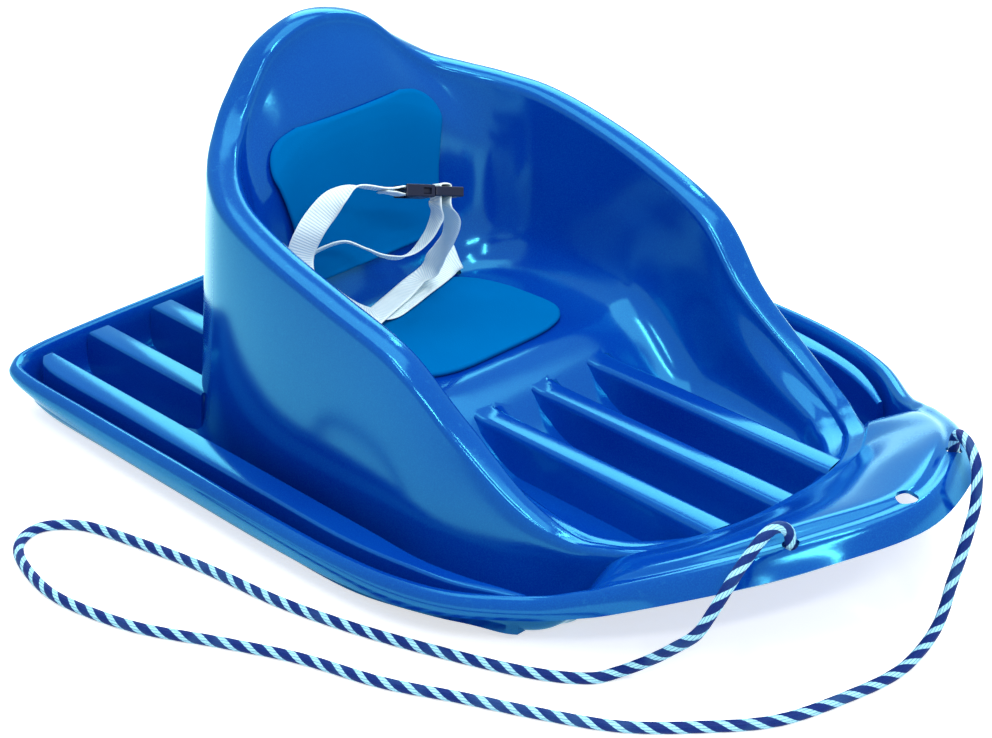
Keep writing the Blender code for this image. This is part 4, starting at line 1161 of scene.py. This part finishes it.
def foam_pad(name, outline, low_point, lift, sizes, material):
    """A foam sheet with rounded edges. low_point gives the place below, lift the direction of its thickness."""
    line = smooth_line([Vector(p) for p in outline], 6)
    rows = [(p[0] * MM, p[1] * MM) for p in line]
    border = [Vector((place, half)) for place, half in rows] + [Vector((place, -half)) for place, half in rows[::-1]]

    def to_edge(place, across):
        """Distance to the nearest edge."""
        point = Vector((place, across))
        nearest = 1.0
        for a, b in zip(border, border[1:] + border[:1]):
            span = b - a
            share = min(max((point - a).dot(span) / max(span.length_squared, 1e-12), 0.0), 1.0)
            nearest = min(nearest, (point - a - span * share).length)
        return nearest

    first = rows[0][0]
    last = rows[-1][0]
    direction = 1.0 if last > first else -1.0
    insets = [inset * MM * direction for inset in PAD_EDGE_ROWS]
    places = [first + inset for inset in insets] + [last - inset for inset in insets] + [place for place, _ in rows]
    places = sorted({round(place, 7) for place in places}, reverse=direction < 0)
    known = np.array([r[0] for r in rows])
    halves = np.array([r[1] for r in rows])
    order = np.argsort(known)
    upper = []
    lower = []
    edge = []
    for place in places:
        half = float(np.interp(place, known[order], halves[order]))
        for c in range(PAD_COLUMNS + 1):
            share = -math.cos(math.pi * c / PAD_COLUMNS)
            across = half * share
            away = to_edge(place, across)
            rise = math.sqrt(max(1.0 - (1.0 - min(away / sizes.rounding, 1.0)) ** 2, 0.0))
            base = low_point(place, across)
            upper.append(base + lift * sizes.thickness * (0.45 + 0.55 * rise))
            lower.append(base + lift * sizes.thickness * (0.45 - 0.45 * min(away / (0.4 * sizes.rounding), 1.0)))
            edge.append(1.0 - min(away / (0.8 * sizes.rounding), 1.0))
    width = PAD_COLUMNS + 1
    points = list(upper)
    below = {}
    for k in range(len(upper)):
        row, column = divmod(k, width)
        if row in (0, len(places) - 1) or column in (0, PAD_COLUMNS):
            below[k] = k
        else:
            below[k] = len(points)
            points.append(lower[k])
            edge.append(0.0)
    faces = []
    for row in range(len(places) - 1):
        for column in range(PAD_COLUMNS):
            corner = row * width + column
            quad = (corner, corner + 1, corner + width + 1, corner + width)
            faces.append(quad)
            faces.append(tuple(below[k] for k in reversed(quad)))
    made = mesh_object(name, points, faces, material)
    face_out(made)
    # How near each point is to the pad's edge, where the foam's material paints shade
    mark = made.data.attributes.new("edge", "FLOAT", "POINT")
    mark.data.foreach_set("value", edge[:len(made.data.vertices)])
    return made


class SLED_OT_camera(bpy.types.Operator):
    """Sets the camera at the photograph's angle"""

    bl_idname = "sled.camera"
    bl_label = "Camera"

    def execute(self, context):
        stage = context.scene.sled_stage
        forward = Vector((math.cos(stage.yaw) * math.cos(stage.pitch), math.sin(stage.yaw) * math.cos(stage.pitch),
                          -math.sin(stage.pitch)))
        level = Vector((math.sin(stage.yaw), -math.cos(stage.yaw), 0.0))
        rise = level.cross(forward)
        right = level * math.cos(stage.roll) + rise * math.sin(stage.roll)
        up = rise * math.cos(stage.roll) - level * math.sin(stage.roll)
        lens = bpy.data.cameras.new("camera")
        lens.sensor_width = 36.0
        lens.lens = stage.lens
        lens.clip_end = 50.0
        camera = bpy.data.objects.new("camera", lens)
        camera.matrix_world = Matrix.Translation(stage.place) @ Matrix((right, up, -forward)).transposed().to_4x4()
        context.scene.collection.objects.link(camera)
        context.scene.camera = camera
        return {"FINISHED"}


class SLED_OT_tow_rope(bpy.types.Operator):
    """Braids the tow rope and its two knots"""

    bl_idname = "sled.tow_rope"
    bl_label = "Tow rope"

    def execute(self, context):
        sizes = context.scene.sled_rope
        material = rope_yarn(sizes)
        rope, line = braided_rope("tow_rope_braid", rope_centre(), sizes, material)
        for side, word in ((1.0, "left"), (-1.0, "right")):
            knot, _ = braided_rope(f"knot_{word}", knot_line(side), sizes, material, closed=True)
            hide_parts(f"rope_knot_{word}")
            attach(knot, "sled")
        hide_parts("tow_rope")
        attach(rope, "sled")
        [tuple(p) for p in line[::3]] + [tuple(line[-1])]
        return {"FINISHED"}


class SLED_OT_shell(bpy.types.Operator):
    """Moulds the shell: tub, rim, pan, ribs, lip, holes and slots"""

    bl_idname = "sled.shell"
    bl_label = "Shell"

    def execute(self, context):
        sizes = context.scene.sled_moulding
        material = moulded_plastic(sizes)
        sections = shell_sections(sizes)
        points, faces = shell_sheet(sections)
        tree = BVHTree.FromPolygons(points, faces)
        shell = mesh_object("shell", points, faces, material)
        weld(shell)
        wall = shell.modifiers.new("wall", "SOLIDIFY")
        wall.thickness = sizes.wall
        wall.offset = -1.0
        finished_mesh(shell)
        for hollow, operation in ((False, "UNION"), (True, "DIFFERENCE")):
            ribs = rear_ribs(sizes, tree, hollow, material) + side_ribs(sizes, tree, hollow, material)
            ribs += well_ribs(sizes, tree, hollow, material)
            apply_cut(shell, joined("ribs", ribs), operation)
        holes = [round_cutter(NOSE_HOLE[0] * MM, 0.0, NOSE_HOLE_RADIUS * MM, material)]
        for side in (1.0, -1.0):
            holes.append(round_cutter(ROPE_HOLE[0] * MM, ROPE_HOLE[1] * MM * side, ROPE_HOLE_RADIUS * MM, material))
            holes.append(slot_cutter(side, material))
        apply_cut(shell, joined("holes", holes), "DIFFERENCE")
        shell.data.polygons.foreach_set("use_smooth", [True] * len(shell.data.polygons))
        shell.data.set_sharp_from_angle(angle=SHARP_EDGE)
        self.mark_scuffs(shell)
        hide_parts("sled_shell")
        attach(shell, "sled")
        return {"FINISHED"}

    def mark_scuffs(self, shell):
        """How near each point is to the rim's crest or the lip's edge, where the shell gets worn."""
        lip = [(x, y, z) for (x, y), z in zip(LIP_EDGE, LIP_TOP)]
        marks = []
        reach = []
        for line, far in ((RIM_CREST, RIM_SCUFF), (lip, LIP_SCUFF)):
            places = [p * MM for p in smooth_line(line, 4, True)]
            marks += places
            reach += [far * MM] * len(places)
        marks = np.array(marks)
        points = np.zeros(len(shell.data.vertices) * 3)
        shell.data.vertices.foreach_get("co", points)
        points = points.reshape(-1, 3)
        points[:, 1] = np.abs(points[:, 1])
        worn = np.zeros(len(points))
        for mark, far in zip(marks, reach):
            # Full close to the line, and faded out a little beyond the reach
            away = np.linalg.norm(points - mark, axis=1) / far
            worn = np.maximum(worn, np.clip(1.3 - away, 0.0, 1.0))
        attribute = shell.data.attributes.new("scuff", "FLOAT", "POINT")
        attribute.data.foreach_set("value", worn.astype(np.float32))


class SLED_OT_pads(bpy.types.Operator):
    """Cuts the foam pads of the seat and the back"""

    bl_idname = "sled.pads"
    bl_label = "Pads"

    def execute(self, context):
        sizes = context.scene.sled_pads
        moulding = context.scene.sled_moulding
        material = pad_foam(sizes)
        points, faces = shell_sheet(shell_sections(moulding))
        tree = BVHTree.FromPolygons(points, faces)

        def seat_floor(x, y):
            return Vector((x, y, floor_height(x, moulding) + SEAT_PAD_GAP * MM))

        def back_wall(z, y):
            return Vector((along_x(tree, 0.0, y, z, -1.0) + BACK_PAD_GAP * MM, y, z))

        seat = foam_pad("seat_foam", SEAT_PAD_OUTLINE, seat_floor, Vector((0.0, 0.0, 1.0)), sizes, material)
        back = foam_pad("back_foam", BACK_PAD_OUTLINE, back_wall, Vector((1.0, 0.0, 0.0)), sizes, material)
        for pad, node in ((seat, "seat_pad"), (back, "back_pad")):
            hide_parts(node)
            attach(pad, "sled")
        return {"FINISHED"}


class SLED_OT_belt(bpy.types.Operator):
    """Weaves the two straps of the lap belt"""

    bl_idname = "sled.belt"
    bl_label = "Belt"

    def execute(self, context):
        sizes = context.scene.sled_belt
        material = belt_webbing(sizes)
        where = buckle_frame()
        right = webbing("strap_right", right_places(where, sizes), sizes, material)
        left = webbing("strap_left", left_places(where, sizes), sizes, material)
        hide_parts("belt_strap_right")
        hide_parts("belt_strap_left")
        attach(left, "sled")
        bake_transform(right)
        return {"FINISHED"}


class SLED_OT_buckle(bpy.types.Operator):
    """Finishes the buckle's parts and the bars that hold the straps' ends"""

    bl_idname = "sled.buckle"
    bl_label = "Buckle"

    def execute(self, context):
        material = buckle_plastic(context.scene.sled_belt)
        for name in ("buckle_socket", "buckle_insert", "release_arm_left", "release_arm_right",
                     "strap_anchor_left", "strap_anchor_right"):
            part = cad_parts[name]
            for place in part.material_slots:
                place.material = material
        return {"FINISHED"}


class SLED_OT_stage(bpy.types.Operator):
    """Lays the floor and sets the lights"""

    bl_idname = "sled.stage"
    bl_label = "Stage"

    def execute(self, context):
        stage = context.scene.sled_stage
        self.floor()
        self.world(stage)
        for name, (place, aim, size, share) in LAMPS.items():
            self.lamp(name, place, aim, size, share * stage.key)
        return {"FINISHED"}

    def floor(self):
        """A pale floor that keeps the sled's shadow and fades into the white behind."""
        finish = Finish(bpy.data.materials.new("floor"))
        finish.set(Base_Color=FLOOR_COLOUR, Roughness=0.9)
        glow = finish.add("ShaderNodeEmission", {}, {"Color": WHITE, "Strength": FLOOR_GLOW})
        dark = finish.add("ShaderNodeEmission", {}, {"Color": WHITE, "Strength": 0.0})
        chosen = finish.add("ShaderNodeMixShader", {}, {0: finish.direct(), 1: dark, 2: glow})
        finish.feed(finish.surface, finish.add("ShaderNodeAddShader", {}, {0: finish.own(), 1: chosen}))
        far = FLOOR_HALF
        floor = mesh_object("floor", [(-far, -far, 0), (far, -far, 0), (far, far, 0), (-far, far, 0)],
                            [(0, 1, 2, 3)], finish.made, False)

    def world(self, stage):
        """White where it is seen, and a softer, cooler light on the sled."""
        studio = Finish(bpy.data.worlds.new("studio"))
        bpy.context.scene.world = studio.made
        studio.set(Color=ROOM_COLOUR, Strength=stage.fill)
        white = studio.add("ShaderNodeBackground", {}, {"Color": WHITE})
        seen = studio.add("ShaderNodeMixShader", {}, {0: studio.direct(), 1: studio.own(), 2: white})
        studio.feed(studio.surface, seen)

    def lamp(self, name, place, aim, size, power):
        light = bpy.data.lights.new(name, "AREA")
        light.shape = "RECTANGLE"
        light.size, light.size_y = size
        light.energy = power
        made = bpy.data.objects.new(name, light)
        made.location = place
        made.rotation_euler = (Vector(aim) - Vector(place)).to_track_quat("-Z", "Y").to_euler()
        bpy.context.scene.collection.objects.link(made)


STEPS = (SLED_OT_camera, SLED_OT_tow_rope, SLED_OT_shell, SLED_OT_pads, SLED_OT_belt, SLED_OT_buckle,
         SLED_OT_stage)
GROUPS = {"sled_moulding": SledMoulding, "sled_pads": SledPads, "sled_belt": SledBelt, "sled_rope": SledRope,
          "sled_stage": SledStage}


class SLED_PT_steps(bpy.types.Panel):
    """The sled's sizes, colours and steps"""

    bl_label = "Sled"
    bl_idname = "SLED_PT_steps"
    bl_space_type = "VIEW_3D"
    bl_region_type = "UI"
    bl_category = "Sled"

    def draw(self, context):
        for name, group in GROUPS.items():
            box = self.layout.box()
            for field in group.__annotations__:
                box.prop(getattr(context.scene, name), field)
        for step in STEPS:
            self.layout.operator(step.bl_idname)


def register():
    for kind in (*GROUPS.values(), *STEPS, SLED_PT_steps):
        bpy.utils.register_class(kind)
    for name, group in GROUPS.items():
        setattr(bpy.types.Scene, name, PointerProperty(type=group))


def unregister():
    for name in GROUPS:
        delattr(bpy.types.Scene, name)
    for kind in reversed((*GROUPS.values(), *STEPS, SLED_PT_steps)):
        bpy.utils.unregister_class(kind)


def main():
    register()
    bpy.context.scene.view_settings.view_transform = "Standard"
    bpy.ops.sled.camera()
    bpy.ops.sled.tow_rope()
    bpy.ops.sled.shell()
    bpy.ops.sled.pads()
    bpy.ops.sled.belt()
    bpy.ops.sled.buckle()
    bpy.ops.sled.stage()


if __name__ == "__main__":
    main()
